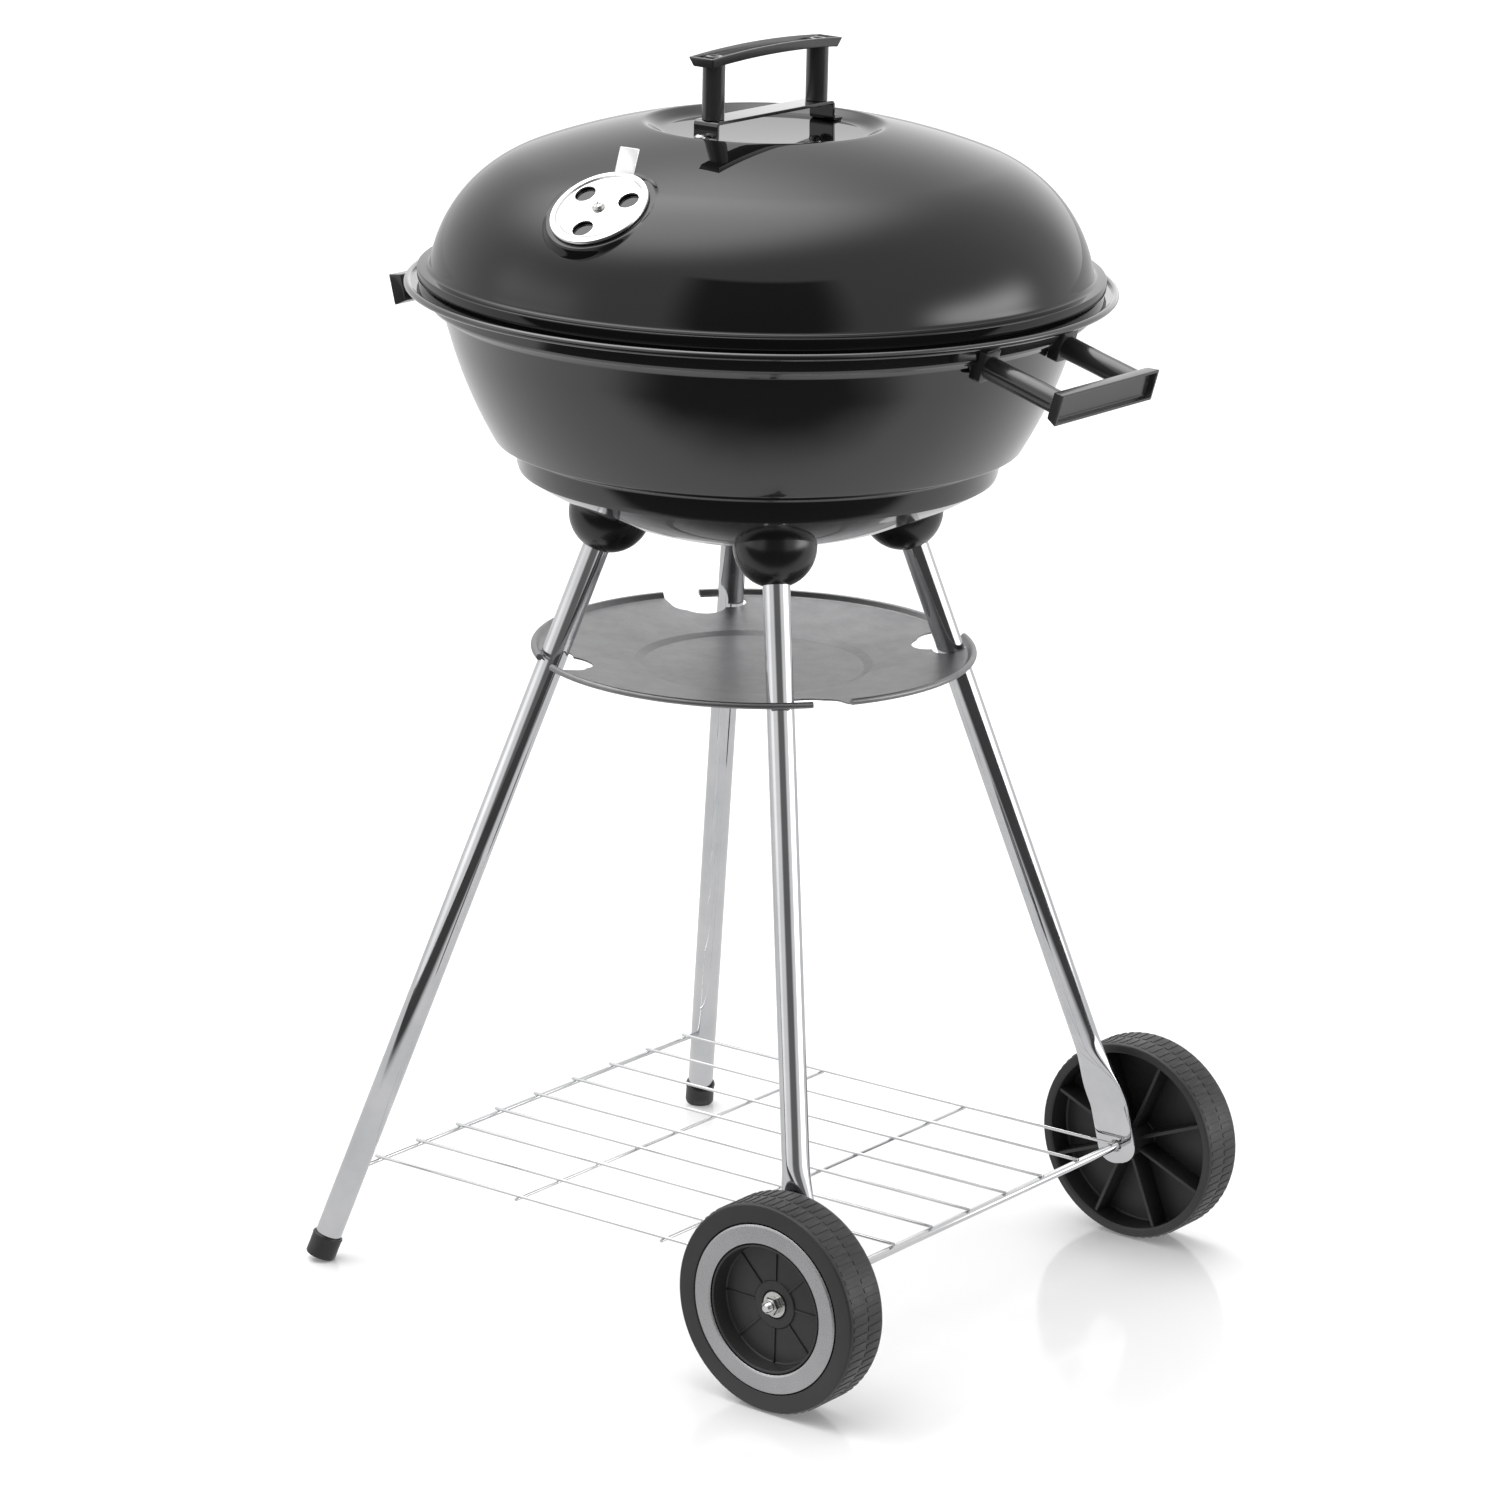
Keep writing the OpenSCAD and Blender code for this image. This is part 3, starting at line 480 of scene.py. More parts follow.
vent_at = Vector(joints["lid_damper_turn"]["pos_m"]) / MM
vent_z = Vector(joints["lid_damper_turn"]["axis"])
vent_y = Vector((-vent_at.y, vent_at.x, 0)).normalized()
vent_x = vent_y.cross(vent_z)
VENT = Matrix((vent_x, vent_y, vent_z)).transposed().to_4x4()
VENT.translation = vent_at


def dome_under(a, r):
    """Height of the dome's face in the vent's frame, at the angle a and radius r."""
    lo, hi = -30.0, 12.0
    for _ in range(36):
        mid = (lo + hi) / 2
        p = VENT @ Vector((r * math.cos(a), r * math.sin(a), mid))
        lo, hi = (lo, mid) if p.z > dome_z(math.hypot(p.x, p.y)) else (mid, hi)
    return hi


def vent_pad_rows(segments=256):
    """For each angle: the pad's profile from its flat to the dome, and the radius where it meets the dome."""
    rows = []
    for k in range(segments):
        a = math.tau * k / segments
        drop = abs(dome_under(a, VENT_PAD_R + 2))
        reach = VENT_PAD_R + 2 + 0.5 * drop
        stop = dome_under(a, reach)
        slope = (dome_under(a, reach + 0.5) - dome_under(a, reach - 0.5))
        start = VENT_PAD_R - 0.6
        run = reach - start
        row = [(0.01, 0), (12, 0), (24, 0), (start - 0.5, 0)]
        for i in range(19):
            t = i / 18
            z = (3 - 2 * t) * t * t * stop + (t - 1) * t * t * slope * run
            row.append((start + run * t, z - 0.02 * t))
        rows.append((a, row, reach))
    return rows


def vent_pad_mesh(rows):
    profiles = []
    for a, row, _ in rows:
        loop = row + [(r, z - SHEET) for r, z in row[::-1]]
        profiles.append([(r * math.cos(a), r * math.sin(a), z) for r, z in loop])
    count = len(profiles[0])
    verts = [p[i] for i in range(count) for p in profiles]
    return verts, ring_faces(count, len(rows), True)


def dome_normal(p):
    """The outward direction of the dome's face at a point, or None away from that face."""
    r = math.hypot(p.x, p.y)
    if r < RECESS_R + 9 or r > SHOULDER_CR + SHOULDER_R * math.cos(math.radians(13)):
        return None
    if abs(p.z - dome_z(r)) > 0.08:
        return None
    if r < CROWN_R * math.sin(CROWN_END):
        return Vector((p.x, p.y, p.z - CROWN_CZ)).normalized()
    return Vector((p.x * (1 - SHOULDER_CR / r), p.y * (1 - SHOULDER_CR / r), p.z - SHOULDER_CZ)).normalized()


def smooth_dome(piece):
    """Gives the cut dome its true smooth normals back."""
    mesh = piece.data
    normals = []
    for face in mesh.polygons:
        for corner in face.vertices:
            n = dome_normal(mesh.vertices[corner].co / MM)
            normals.append(tuple(n) if n and n.dot(face.normal) > 0.9 else (0, 0, 0))
    mesh.normals_split_custom_set(normals)


pad_rows = vent_pad_rows()
vent_pad = make("lid_vent_pad", vent_pad_mesh(pad_rows), VENT, "lid", "lid_enamel", sharp=40)
opening = [[((reach - 0.7) * math.cos(a), (reach - 0.7) * math.sin(a), z) for a, _, reach in pad_rows]
           for z in (-16, 9)]
carve(dome, [loft_mesh(opening)], VENT)
smooth_dome(dome)


def ring_of(part, count, start, radius):
    """Copies of a part spaced round local Z, each put out along X."""
    return [moved(part, turn(start + 360 / count * i, "Z") @ shift(radius, 0, 0)) for i in range(count)]


carve(vent_pad, ring_of(cylinder_mesh(HOLE_R, -4, 2), 3, 60, HOLES_AT), VENT)


def damper(name, at, body, node):
    """A pressed round damper with a rolled rim, three holes and a bent tab."""
    gap, rim = 0.2, 2.6
    outline = soften([(0, gap + 0.6), (DAMPER_R - 6.6, gap + 0.6, 0.6), (DAMPER_R - 5.4, gap, 0.6),
                      (DAMPER_R - 0.3, gap, 0.3), (DAMPER_R, gap + 0.8, 0.4), (DAMPER_R - 0.3, rim, 0.9),
                      (DAMPER_R - 3.2, rim, 1), (DAMPER_R - 4.4, gap + 1.1, 0.6),
                      (DAMPER_R - 5.2, gap + 1.1, 0.6), (DAMPER_R - 6.4, gap + 1.8, 0.8), (0, gap + 1.8)])
    disc = place(name, *turned_mesh(outline, 160), at, DAMPER_CHROME, body, "damper_chrome", [node])
    carve(disc, ring_of(cylinder_mesh(6.6, -2, 6), 3, 0, HOLES_AT) + [cylinder_mesh(2.06, -2, 6)], at)
    tab = soften([(0.5, -7, 0.5), (0.5, 7, 0.5), (-16.3, 7, 0.7), (-16.3, -7, 0.7)])
    bend = at @ shift(-DAMPER_R + 1.4, 0, rim - 1.25) @ turn(37, "Y")
    place(name + "_tab", *slab_mesh(tab, 0, 1.2, 0.25), bend, DAMPER_CHROME, body, "damper_chrome")
    lips = []
    for i in range(3):
        lip = turned_mesh(soften([(HOLE_R, -0.4, 0.1), (HOLE_R + 0.45, -0.4, 0.1),
                                  (HOLE_R + 0.45, 0.1, 0.1), (HOLE_R, 0.1, 0.1)]), 48)
        lips.append(moved(lip, turn(120 * i, "Z") @ shift(HOLES_AT, 0, gap + 1.7)))
    place(name + "_hole_lips", *merged(lips), at, DAMPER_CHROME, body, "damper_chrome")
    return disc


damper("lid_damper_disc", VENT, "lid_damper", "lid_vent_damper")
VENT_LOW = shift(0, 0, PAD_Z) @ turn(180, "X")
damper("bottom_damper_disc", VENT_LOW, "bottom_damper", "bottom_vent_damper")


def cross_screw(name, at, body, nodes, head_r=4.1, head_h=2.7, shank_r=2, length=10, spread=()):
    """Round-headed screws with a cross recess, one for each matrix in spread."""
    outline = soften([(0, -length), (shank_r - 0.4, -length), (shank_r, 0.4 - length), (shank_r, 0),
                      (head_r, 0, 0.2), (head_r, head_h * 0.36, 0.8), (head_r * 0.62, head_h * 0.93, 1.6),
                      (0, head_h)])
    head = turned_mesh(outline, 48)
    slot = slab_mesh([(-0.45, -2.3), (0.45, -2.3), (0.45, 2.3), (-0.45, 2.3)], head_h - 1.3, head_h + 1, 0.05)
    spots = spread or [HERE]
    screw = place(name, *merged([moved(head, m) for m in spots]), at, ZINC, body, "zinc_fasteners", nodes)
    cuts = [moved(slot, m @ turn(20 + q, "Z")) for m in spots for q in (0, 90)]
    for c in cuts:
        carve(screw, [c], at)
    return screw


cross_screw("lid_vent_cross_screw", VENT @ shift(0, 0, 2.1), "lid", ["lid_vent_screw"], length=9)
cross_screw("bottom_vent_cross_screw", VENT_LOW @ shift(0, 0, 2.1), "frame", ["bottom_vent_screw"], length=9)

# ------------------------------------------------------------------ lid handle

STRAP_TOP = high("lid_handle_bracket").z
STRAP_END = 58.5
STRAP_HALF_W = high("lid_handle_bracket").x
GRIP_HALF = high("lid_handle").y
GRIP_Z = 773.5
POST_Y = 51.3


def strap_mesh():
    """A strip of sheet bent into a bridge with two feet, swept along its middle line."""
    top, foot, half = STRAP_TOP - 1, FLOOR_Z + 1.05, STRAP_END - 1
    corners = [(-STRAP_END - 9.2, foot), (-half, foot, 2.4), (-half, top, 2.2), (half, top, 2.2), (half, foot, 2.4),
               (STRAP_END + 9.2, foot)]
    path = [Vector(p) for p in soften(corners, steps=6)]
    sections = []
    for i, p in enumerate(path):
        along = (path[min(i + 1, len(path) - 1)] - path[max(i - 1, 0)]).normalized()
        across = Vector((-along.y, along.x))
        w, t, edge = STRAP_HALF_W, 1.0, 0.3
        if i in (0, len(path) - 1):
            w, t = w - edge, t - edge
        loop = []
        for x, h in ((-w, -t + edge), (-w, t - edge), (-w + edge, t), (w - edge, t), (w, t - edge), (w, -t + edge),
                     (w - edge, -t), (-w + edge, -t)):
            q = p + across * h
            loop.append((x, q.x, q.y))
        sections.append(loop)
    return loft_mesh(sections)


make("handle_strap", strap_mesh(), HERE, "lid", "bracket_paint", ["lid_handle_bracket"])


def grip_sections(half_len, top_w, low_w, height, wall, depth, flare, arch):
    """Loops of a tray-like bar along local Y: a raised wall runs round its hollow face, which looks along +Z."""
    stations = [(0.0, 0.55, 0.0), (0.15, 0.2, 0.0), (0.6, 0.0, 0.0), (wall - 0.2, 0.0, 0.0), (wall + 0.25, 0.0, 1.0)]
    ys = [(-half_len + d, shrink, hollow) for d, shrink, hollow in stations]
    ys += [(-half_len + wall + 0.25 + (2 * half_len - 2 * wall - 0.5) * k / 24, 0, 1.0) for k in range(1, 24)]
    ys += [(half_len - d, shrink, hollow) for d, shrink, hollow in stations[::-1]]
    loops = []
    for y, shrink, hollow in ys:
        rise = arch * (1 - (y / half_len) ** 2)
        ends = abs(y) / half_len
        tw, lw = top_w / 2 - shrink, low_w / 2 - shrink
        floor = height - depth * hollow
        inner = tw - wall
        outline = soften([(-lw, 0 + shrink, 1.1), (lw, 0 + shrink, 1.1), (tw, height - shrink, 0.5),
                          (inner + 0.15, height - shrink, 0.35), (inner - 0.2, floor - shrink * (1 - hollow), 0.6),
                          (-inner + 0.2, floor - shrink * (1 - hollow), 0.6), (-inner - 0.15, height - shrink, 0.35),
                          (-tw, height - shrink, 0.5)], steps=4, same_count=True)
        loop = []
        for x, z in outline:
            pull = flare * (1 - z / height) * math.copysign(max(ends - 0.9, 0) / 0.1, y)
            loop.append((x, y - pull, z + rise))
        loops.append(loop)
    return loops


grip = loft_mesh(grip_sections(GRIP_HALF, 18.6, 15.4, 6, 1.7, 3, 2.8, 2.6))
make("lid_grip", grip, shift(0, 0, GRIP_Z), "lid", "handle_plastic", ["lid_handle"], sharp=38)
post = turned_mesh(soften([(0, STRAP_TOP + 0.05), (6.9, STRAP_TOP + 0.05, 0.5), (6.9, GRIP_Z + 1.6),
                           (0, GRIP_Z + 1.6)]), 64)
make("lid_grip_posts", merged([moved(post, shift(0, s * POST_Y, 0)) for s in (-1, 1)]), HERE, "lid",
     "handle_plastic")
bosses = turned_mesh(soften([(0, GRIP_Z + 4.2), (5.2, GRIP_Z + 4.2), (5.2, GRIP_Z + 6, 0.4), (3, GRIP_Z + 6.0, 0.4),
                             (2.6, GRIP_Z + 5, 0.3), (0, GRIP_Z + 5)]), 48)
make("lid_grip_bosses", merged([moved(bosses, shift(0, s * POST_Y, 0)) for s in (-1, 1)]), HERE, "lid",
     "handle_plastic")

foot_y = STRAP_END + 4.6
cross_screw("strap_screws", shift(0, 0, FLOOR_Z + 3.1), "lid", ["lid_bracket_screws"], head_r=3.6, head_h=2.4,
            length=8, spread=[shift(0, s * foot_y, 0) for s in (-1, 1)])
washer = turned_mesh(soften([(2.2, 0, 0.1), (5, 0, 0.3), (5, 0.9, 0.3), (2.2, 0.9, 0.1)]), 48)
make("strap_washers", merged([moved(washer, shift(0, s * foot_y, FLOOR_Z + 2.1)) for s in (-1, 1)]), HERE, "lid",
     "zinc_fasteners")

# ------------------------------------------------------------------ bowl

rim_loop = arc(RIM_R - BEAD_R, BEAD_Z, BEAD_R, -120, 190, 26)
bowl_outline = (bowl_path(0) + [(COLLAR_R, RIM_TOP - SHEET, 2.5)] + rim_loop
                + [(COLLAR_R - SHEET, RIM_TOP, 1.5)] + bowl_path(SHEET)[::-1])
bowl = make("bowl_body", turned_mesh(soften(bowl_outline), 360), HERE, "frame", "bowl_enamel", ["bowl_shell"])
carve(bowl, ring_of(cylinder_mesh(HOLE_R, -3, 3), 3, 60, HOLES_AT), VENT_LOW)

SIDE_TILT = 15.5
SIDE_REACH = 259.5
SIDE_Z = 600.5


def side_handle(name, spin, node):
    at = turn(spin, "Z") @ shift(SIDE_REACH, 0, SIDE_Z) @ turn(SIDE_TILT, "Y")
    face = at @ turn(90, "Y") @ shift(0, 0, -8)
    bar = loft_mesh(grip_sections(50.5, 20, 17, 8, 2, 3.4, 2.6, 0))
    make(name + "_grip", bar, face, "frame", "handle_plastic", [node], sharp=38)
    stems = []
    for s in (-1, 1):
        reach = at @ shift(-7.4, s * 40, 0) @ turn(-90, "Y")
        stem = turned_mesh(soften([(0, 0), (7.6, 0), (7.3, 2, 1), (7.1, 30), (7.3, 62), (0, 62)]), 64)
        stems.append(moved(stem, reach))
    make(name + "_stems", merged(stems), HERE, "frame", "handle_plastic")
    feet = []
    for s in (-1, 1):
        base = soften([(-8.4, -9.5, 2), (8.4, -9.5, 2), (7.4, 11, 2.5), (-7.4, 11, 2.5)])
        spot = at @ shift(-62.5, s * 40, 0.5) @ turn(90, "Y") @ turn(90, "Z")
        feet.append(moved(slab_mesh(base, -5, 3, 0.8), spot))
    make(name + "_feet", merged(feet), HERE, "frame", "handle_plastic")


side_handle("wheel_end_handle", 0, "side_handle_wheel_end")
side_handle("foot_end_handle", 180, "side_handle_foot_end")

# ------------------------------------------------------------------ legs

SPLAY = {"wheel": (0.268, 0.252), "foot": (0.256, 0.268)}


def leg_frame(kind, side):
    """Local Z runs up the leg; the origin is on its axis at LEG_TOP's height."""
    end = 1 if kind == "wheel" else -1
    kx, ky = end * SPLAY[kind][0], side * SPLAY[kind][1]
    lean = math.degrees(math.atan(math.hypot(kx, ky)))
    heading = math.degrees(math.atan2(-ky, -kx))
    return shift(end * LEG_TOP.x, side * LEG_TOP.y, LEG_TOP.z) @ turn(heading, "Z") @ turn(lean, "Y")


def leg_point(kind, side, z):
    end = 1 if kind == "wheel" else -1
    drop = LEG_TOP.z - z
    return Vector((end * (LEG_TOP.x + SPLAY[kind][0] * drop), side * (LEG_TOP.y + SPLAY[kind][1] * drop), z))


sides = {"right": -1, "left": 1}
cup_outline = soften([(LEG_R + 0.05, -math.sqrt(CUP_R ** 2 - LEG_R ** 2) + 0.4, 0.6)]
                     + arc(0, 0, CUP_R, -69.5, 0, 28)
                     + [(CUP_R, 1.5, 0.3), (CUP_R - 3, 1.5, 0.3)] + arc(0, 0, CUP_R - 3, 0, -66, 16)
                     + [(LEG_R + 0.05, -math.sqrt((CUP_R - 3) ** 2 - LEG_R ** 2))])
for kind in SPLAY:
    for name, side in sides.items():
        make(f"{kind}_{name}_cup", turned_mesh(cup_outline, 128), leg_frame(kind, side) @ shift(0, 0, CUP_AT),
             "frame", "cup_plastic", [f"leg_cup_{kind}_{name}"])


def ellipse_loop(a, b, power, count=64):
    """A closed loop that goes from an ellipse (power 1) towards a box (power near 0)."""
    loop = []
    for k in range(count):
        t = math.tau * k / count
        c, s = math.cos(t), math.sin(t)
        loop.append((a * math.copysign(abs(c) ** power, c), b * math.copysign(abs(s) ** power, s)))
    return loop


def smooth_step(t):
    t = min(max(t, 0), 1)
    return t * t * (3 - 2 * t)


TAB_BEND_Z = 92
TAB_Y = LEG_TOP.y + SPLAY["wheel"][1] * (LEG_TOP.z - TAB_BEND_Z) + 0.4
TAB_SLANT = math.atan(SPLAY["wheel"][0])


def wheel_leg_mesh(side):
    """A tube that is pressed flat towards its lower end, then bent upright beside the wheel."""
    sections = []
    top = leg_frame("wheel", side) @ Vector((0, 0, CUP_AT - 1))
    stations = [(top.z, 0)] + [(z, 0) for z in (420, 330, 240, 170, 142)]
    stations += [(138 - 3 * k, smooth_step(k / 13)) for k in range(14)]
    stations += [(96, 1), (TAB_BEND_Z + 1.5, 1)]
    fore = Vector((math.cos(TAB_SLANT), 0, math.sin(TAB_SLANT)))
    for z, flat in stations:
        centre = leg_point("wheel", side, z)
        if z < 110:
            centre.y = centre.y + side * 0.4 * (110 - z) / 18
        along = (leg_point("wheel", side, z + 1) - leg_point("wheel", side, z)).normalized()
        wide = (fore - along * fore.dot(along)).normalized()
        thick = along.cross(wide).normalized()
        a = LEG_R + (14.5 - LEG_R) * flat
        b = LEG_R + (1.3 - LEG_R) * flat
        loop = ellipse_loop(a, b, 1 - 0.72 * flat)
        sections.append([tuple(centre + wide * u + thick * v) for u, v in loop])
    down = Vector((math.sin(TAB_SLANT), 0, -math.cos(TAB_SLANT)))
    bend = Vector((AXLE.x, side * TAB_Y, AXLE.z)) - down * (TAB_BEND_Z - AXLE.z) / math.cos(TAB_SLANT)
    length = (TAB_BEND_Z - AXLE.z) / math.cos(TAB_SLANT)
    up = Vector((0, 1, 0)) * (1 if quarter_points_up(sections[-1]) else -1)
    for d in (1.5, length * 0.4, length * 0.75, length):
        sections.append([tuple(bend + down * d + fore * u + up * v) for u, v in ellipse_loop(14.5, 1.3, 0.28)])
    for k in range(1, 9):
        t = math.radians(10 * k)
        w = 14.5 * math.cos(t) ** 0.8
        d = length + 11.8 * math.sin(t)
        sections.append([tuple(bend + down * d + fore * u + up * v) for u, v in ellipse_loop(w, 1.3, 0.28)])
    return loft_mesh(sections)


def quarter_points_up(loop):
    """Whether the point a quarter of the way round a loop lies on the +Y side of its middle."""
    quarter = Vector(loop[len(loop) // 4]) - sum((Vector(p) for p in loop), Vector()) / len(loop)
    return quarter.y > 0


for name, side in sides.items():
    leg = make(f"wheel_{name}_leg", wheel_leg_mesh(side), HERE, "frame", "leg_chrome", [f"leg_wheel_{name}"],
               sharp=40)
    carve(leg, [cylinder_mesh(4.3, -8, 8)], shift(AXLE.x, side * TAB_Y, AXLE.z) @ turn(90, "X"))

foot_lean = math.atan(math.hypot(*SPLAY["foot"]))
CAP_R = 9.75
CAP_Z = (CAP_R - 1) * math.sin(foot_lean) - 1.2
for name, side in sides.items():
    at = leg_frame("foot", side)
    run = (LEG_TOP.z - CAP_Z) / math.cos(foot_lean)
    tube = rod_mesh([(0, 0, CUP_AT - 1), (0, 0, 3 - run)], LEG_R, 64, 0.03)
    make(f"foot_{name}_leg", tube, at, "frame", "leg_chrome", [f"leg_foot_{name}"])
    cap = turned_mesh(soften([(0, 0), (CAP_R, 0, 1.2), (CAP_R - 0.1, 7), (CAP_R, 13.4, 0.3),
                              (CAP_R + 0.3, 13.8, 0.4), (CAP_R, 15, 0.7), (LEG_R + 0.05, 15, 0.3),
                              (LEG_R + 0.05, 3), (0, 3)]), 96)
    piece = make(f"foot_{name}_cap", cap, at @ shift(0, 0, -run), "frame", "foot_plastic", [f"foot_cap_{name}"])
    bm = bmesh.new()
    bm.from_mesh(piece.data)
    cut = bmesh.ops.bisect_plane(bm, geom=bm.verts[:] + bm.edges[:] + bm.faces[:], plane_co=(0, 0, 0),
                                 plane_no=(0, 0, -1), clear_outer=True)
    bmesh.ops.holes_fill(bm, edges=[g for g in cut["geom_cut"] if isinstance(g, bmesh.types.BMEdge)])
    bm.to_mesh(piece.data)
    bm.free()

# ------------------------------------------------------------------ ash tray

tray_bead = TRAY_R - 2
tray_outline = soften([(0, -11.5), (69.5, -11.5, 2.5), (75, -9.3, 3)] + [(tray_bead - 3.4, -1.6, 2)]
                      + arc(tray_bead, 0, 2, 150, -150, 20)[:1]
                      + arc(tray_bead, 0, 2, 150, -140, 24)[1:]
                      + [(tray_bead - 3.4, -2.6, 2), (75, -10.3, 3), (69.5, -12.5, 2.5), (0, -12.5)])
tray = make("ash_tray_sheet", turned_mesh(tray_outline, 288), shift(0, 0, TRAY_Z), "ash_tray", "tray_galvanised",
            ["ash_tray"])


def sector(r0, r1, a0, a1):
    return arc(0, 0, r0, a0, a1, 8) + arc(0, 0, r1, a1, a0, 8)


def puck(outline):
    return slab_mesh(outline, -30, 30, 0.01)


slot_parts = [puck(arc(TRAY_LEG_R, 0, 10.3, 0, 352.5, 47)),
              moved(puck(arc(TRAY_LEG_R - 4.7, 0, 15, 0, 352.5, 47)), turn(9, "Z")),
              moved(puck(arc(TRAY_LEG_R - 1.2, 0, 12, 0, 352.5, 47)), turn(13, "Z")),
              puck(sector(TRAY_LEG_R - 10.3, TRAY_LEG_R + 10.3, 0, 13)),
              puck(sector(TRAY_LEG_R - 4, TRAY_R + 6, 8, 18.5))]
for i in range(4):
    for part in slot_parts:
        carve(tray, [part], shift(0, 0, TRAY_Z) @ turn(45 + 90 * i, "Z"))

# ------------------------------------------------------------------ shelf and axle

ROD_X = -174
ROD_Z = 60
WIRE_R = 1.05
WIRE_Z0 = ROD_Z + 1.5 + WIRE_R - 0.2
WIRE_Z1 = AXLE.z + 2.65 + WIRE_R + 0.05
PITCH = 39.3


def wire_z(x):
    return WIRE_Z0 + (WIRE_Z1 - WIRE_Z0) * (x - ROD_X) / (AXLE.x - ROD_X)


def bead_mesh(centre, size):
    """A small flattened weld bead."""
    rings = []
    for k in range(1, 6):
        t = math.pi * k / 6
        rings.append([(centre[0] + size[0] * math.sin(t) * math.cos(a),
                       centre[1] + size[1] * math.sin(t) * math.sin(a),
                       centre[2] + size[2] * math.cos(t)) for a in [math.tau * i / 12 for i in range(12)]])
    return loft_mesh(rings)


wires = [rod_mesh([(ROD_X, -178, ROD_Z), (ROD_X, 178, ROD_Z)], 1.5, 24)]
cross_xs = [ROD_X + (AXLE.x - ROD_X) * k / 3 for k in (1, 2)]
for i in range(-4, 5):
    y = i * PITCH
    wires.append(rod_mesh([(x, y, wire_z(x)) for x in (ROD_X - 2.5, AXLE.x + 2.5)], WIRE_R))
    wires.append(bead_mesh((ROD_X, y, ROD_Z + 1.45), (1.1, 1.5, 0.5)))
    for x in cross_xs:
        wires.append(bead_mesh((x, y, wire_z(x) - WIRE_R), (1.2, 1.2, 0.45)))
for x in cross_xs:
    z = wire_z(x) - 2 * WIRE_R + 0.2
    wires.append(rod_mesh([(x, -4 * PITCH - 2.5, z), (x, 4 * PITCH + 2.5, z)], WIRE_R))
make("shelf_wires", merged(wires), HERE, "frame", "wire_chrome", ["wire_shelf"])

ALONG_Y = {-1: shift(AXLE.x, 0, AXLE.z) @ turn(90, "X"), 1: shift(AXLE.x, 0, AXLE.z) @ turn(-90, "X")}
AXLE_END = high("axle").y
axle_outline = [(0, 0), (2.65, 0), (2.65, TAB_Y + 1.8), (2.98, TAB_Y + 2.2), (2.98, 190)]
z = 190
while z < AXLE_END - 1.2:
    axle_outline += [(2.98, z), (2.62, z + 0.5)]
    z += 1
axle_outline += [(2.9, AXLE_END - 0.9), (2.2, AXLE_END), (0, AXLE_END)]
make("axle_bar", merged([moved(turned_mesh(axle_outline, 40), ALONG_Y[s]) for s in (-1, 1)]), HERE, "frame",
     "wire_chrome", ["axle"], sharp=50)

# ------------------------------------------------------------------ wheels

WHEEL_W = WHEEL_FACE - 0.5 - WHEEL_IN


def wheel_outline(wide):
    """The wheel's outline, drawn with +Z outwards and its inner face at zero."""
    r = WHEEL_R
    return [(10.6, -7.6, 0.6), (10.6, 17.4, 1.5), (r - 7, 17.4, 2), (r - 7, 1, 1), (r - 5.6, 0, 1), (r - 1.2, 0, 1.4),
            (r - 0.4, 2.4, 0.8), (r - 0.4, wide - 2.4, 0.8), (r - 1.2, wide, 1.6), (53.6, wide, 0.8),
            (53.1, wide - 2.3, 0.3), (40.4, wide - 2.3, 0.3), (39.9, wide - 0.2, 0.5), (38.6, wide - 0.2, 0.8),
            (37.4, 20.4, 1.2), (15.4, 20.4, 1), (14.6, 21.6, 0.6), (9.2, 21.6, 0.6), (8.6, 20.2, 0.5),
            (3.06, 20.2, 0.2), (3.06, -7.6, 0.2)]


TREADS = 70
RIB_COUNT = 8
WHEEL_IN_FACE = 175.5
wheel_turned = turned_mesh(soften(wheel_outline(WHEEL_W)), 256)
back_rib = moved(slab_mesh(soften([(10, 2, 1), (59.5, 2, 1), (59.5, 17.8), (10, 17.8)]), -1.1, 1.1, 0.3),
                 turn(90, "X"))
face_rib = slab_mesh(soften([(15, -0.6, 0.3), (37.8, -0.6, 0.3), (37.8, 0.6, 0.3), (15, 0.6, 0.3)]), 20, 21.3, 0.2)
wheel_shapes = [wheel_turned]
wheel_shapes += [moved(back_rib, turn((i + 0.5) * 360 / RIB_COUNT, "Z")) for i in range(RIB_COUNT)]
wheel_shapes += [moved(face_rib, turn(i * 360 / RIB_COUNT, "Z")) for i in range(RIB_COUNT)]
for row, (z0, z1) in enumerate(((2.6, WHEEL_W / 2 - 0.7), (WHEEL_W / 2 + 0.7, WHEEL_W - 2.6))):
    lug = slab_mesh([(WHEEL_R - 1.2, -1.45), (WHEEL_R - 0.02, -1.45), (WHEEL_R - 0.02, 1.45),
                     (WHEEL_R - 1.2, 1.45)], z0, z1, 0.35)
    wheel_shapes += [moved(lug, turn((i + row / 2) * 360 / TREADS, "Z")) for i in range(TREADS)]
trim = turned_mesh(soften([(40.9, WHEEL_W - 2.3), (52.7, WHEEL_W - 2.3), (52.7, WHEEL_W, 0.5),
                           (51.4, WHEEL_W + 0.5, 0.6), (42.2, WHEEL_W + 0.5, 0.6), (40.9, WHEEL_W, 0.5)]), 200)
for name, side in sides.items():
    at = ALONG_Y[side] @ shift(0, 0, WHEEL_IN_FACE)
    make(f"wheel_{name}_moulding", merged(wheel_shapes), at, f"wheel_{name}", "wheel_plastic", [f"wheel_{name}"])
    make(f"wheel_{name}_trim", trim, at, f"wheel_{name}", "trim_silver", [f"trim_ring_{name}"])

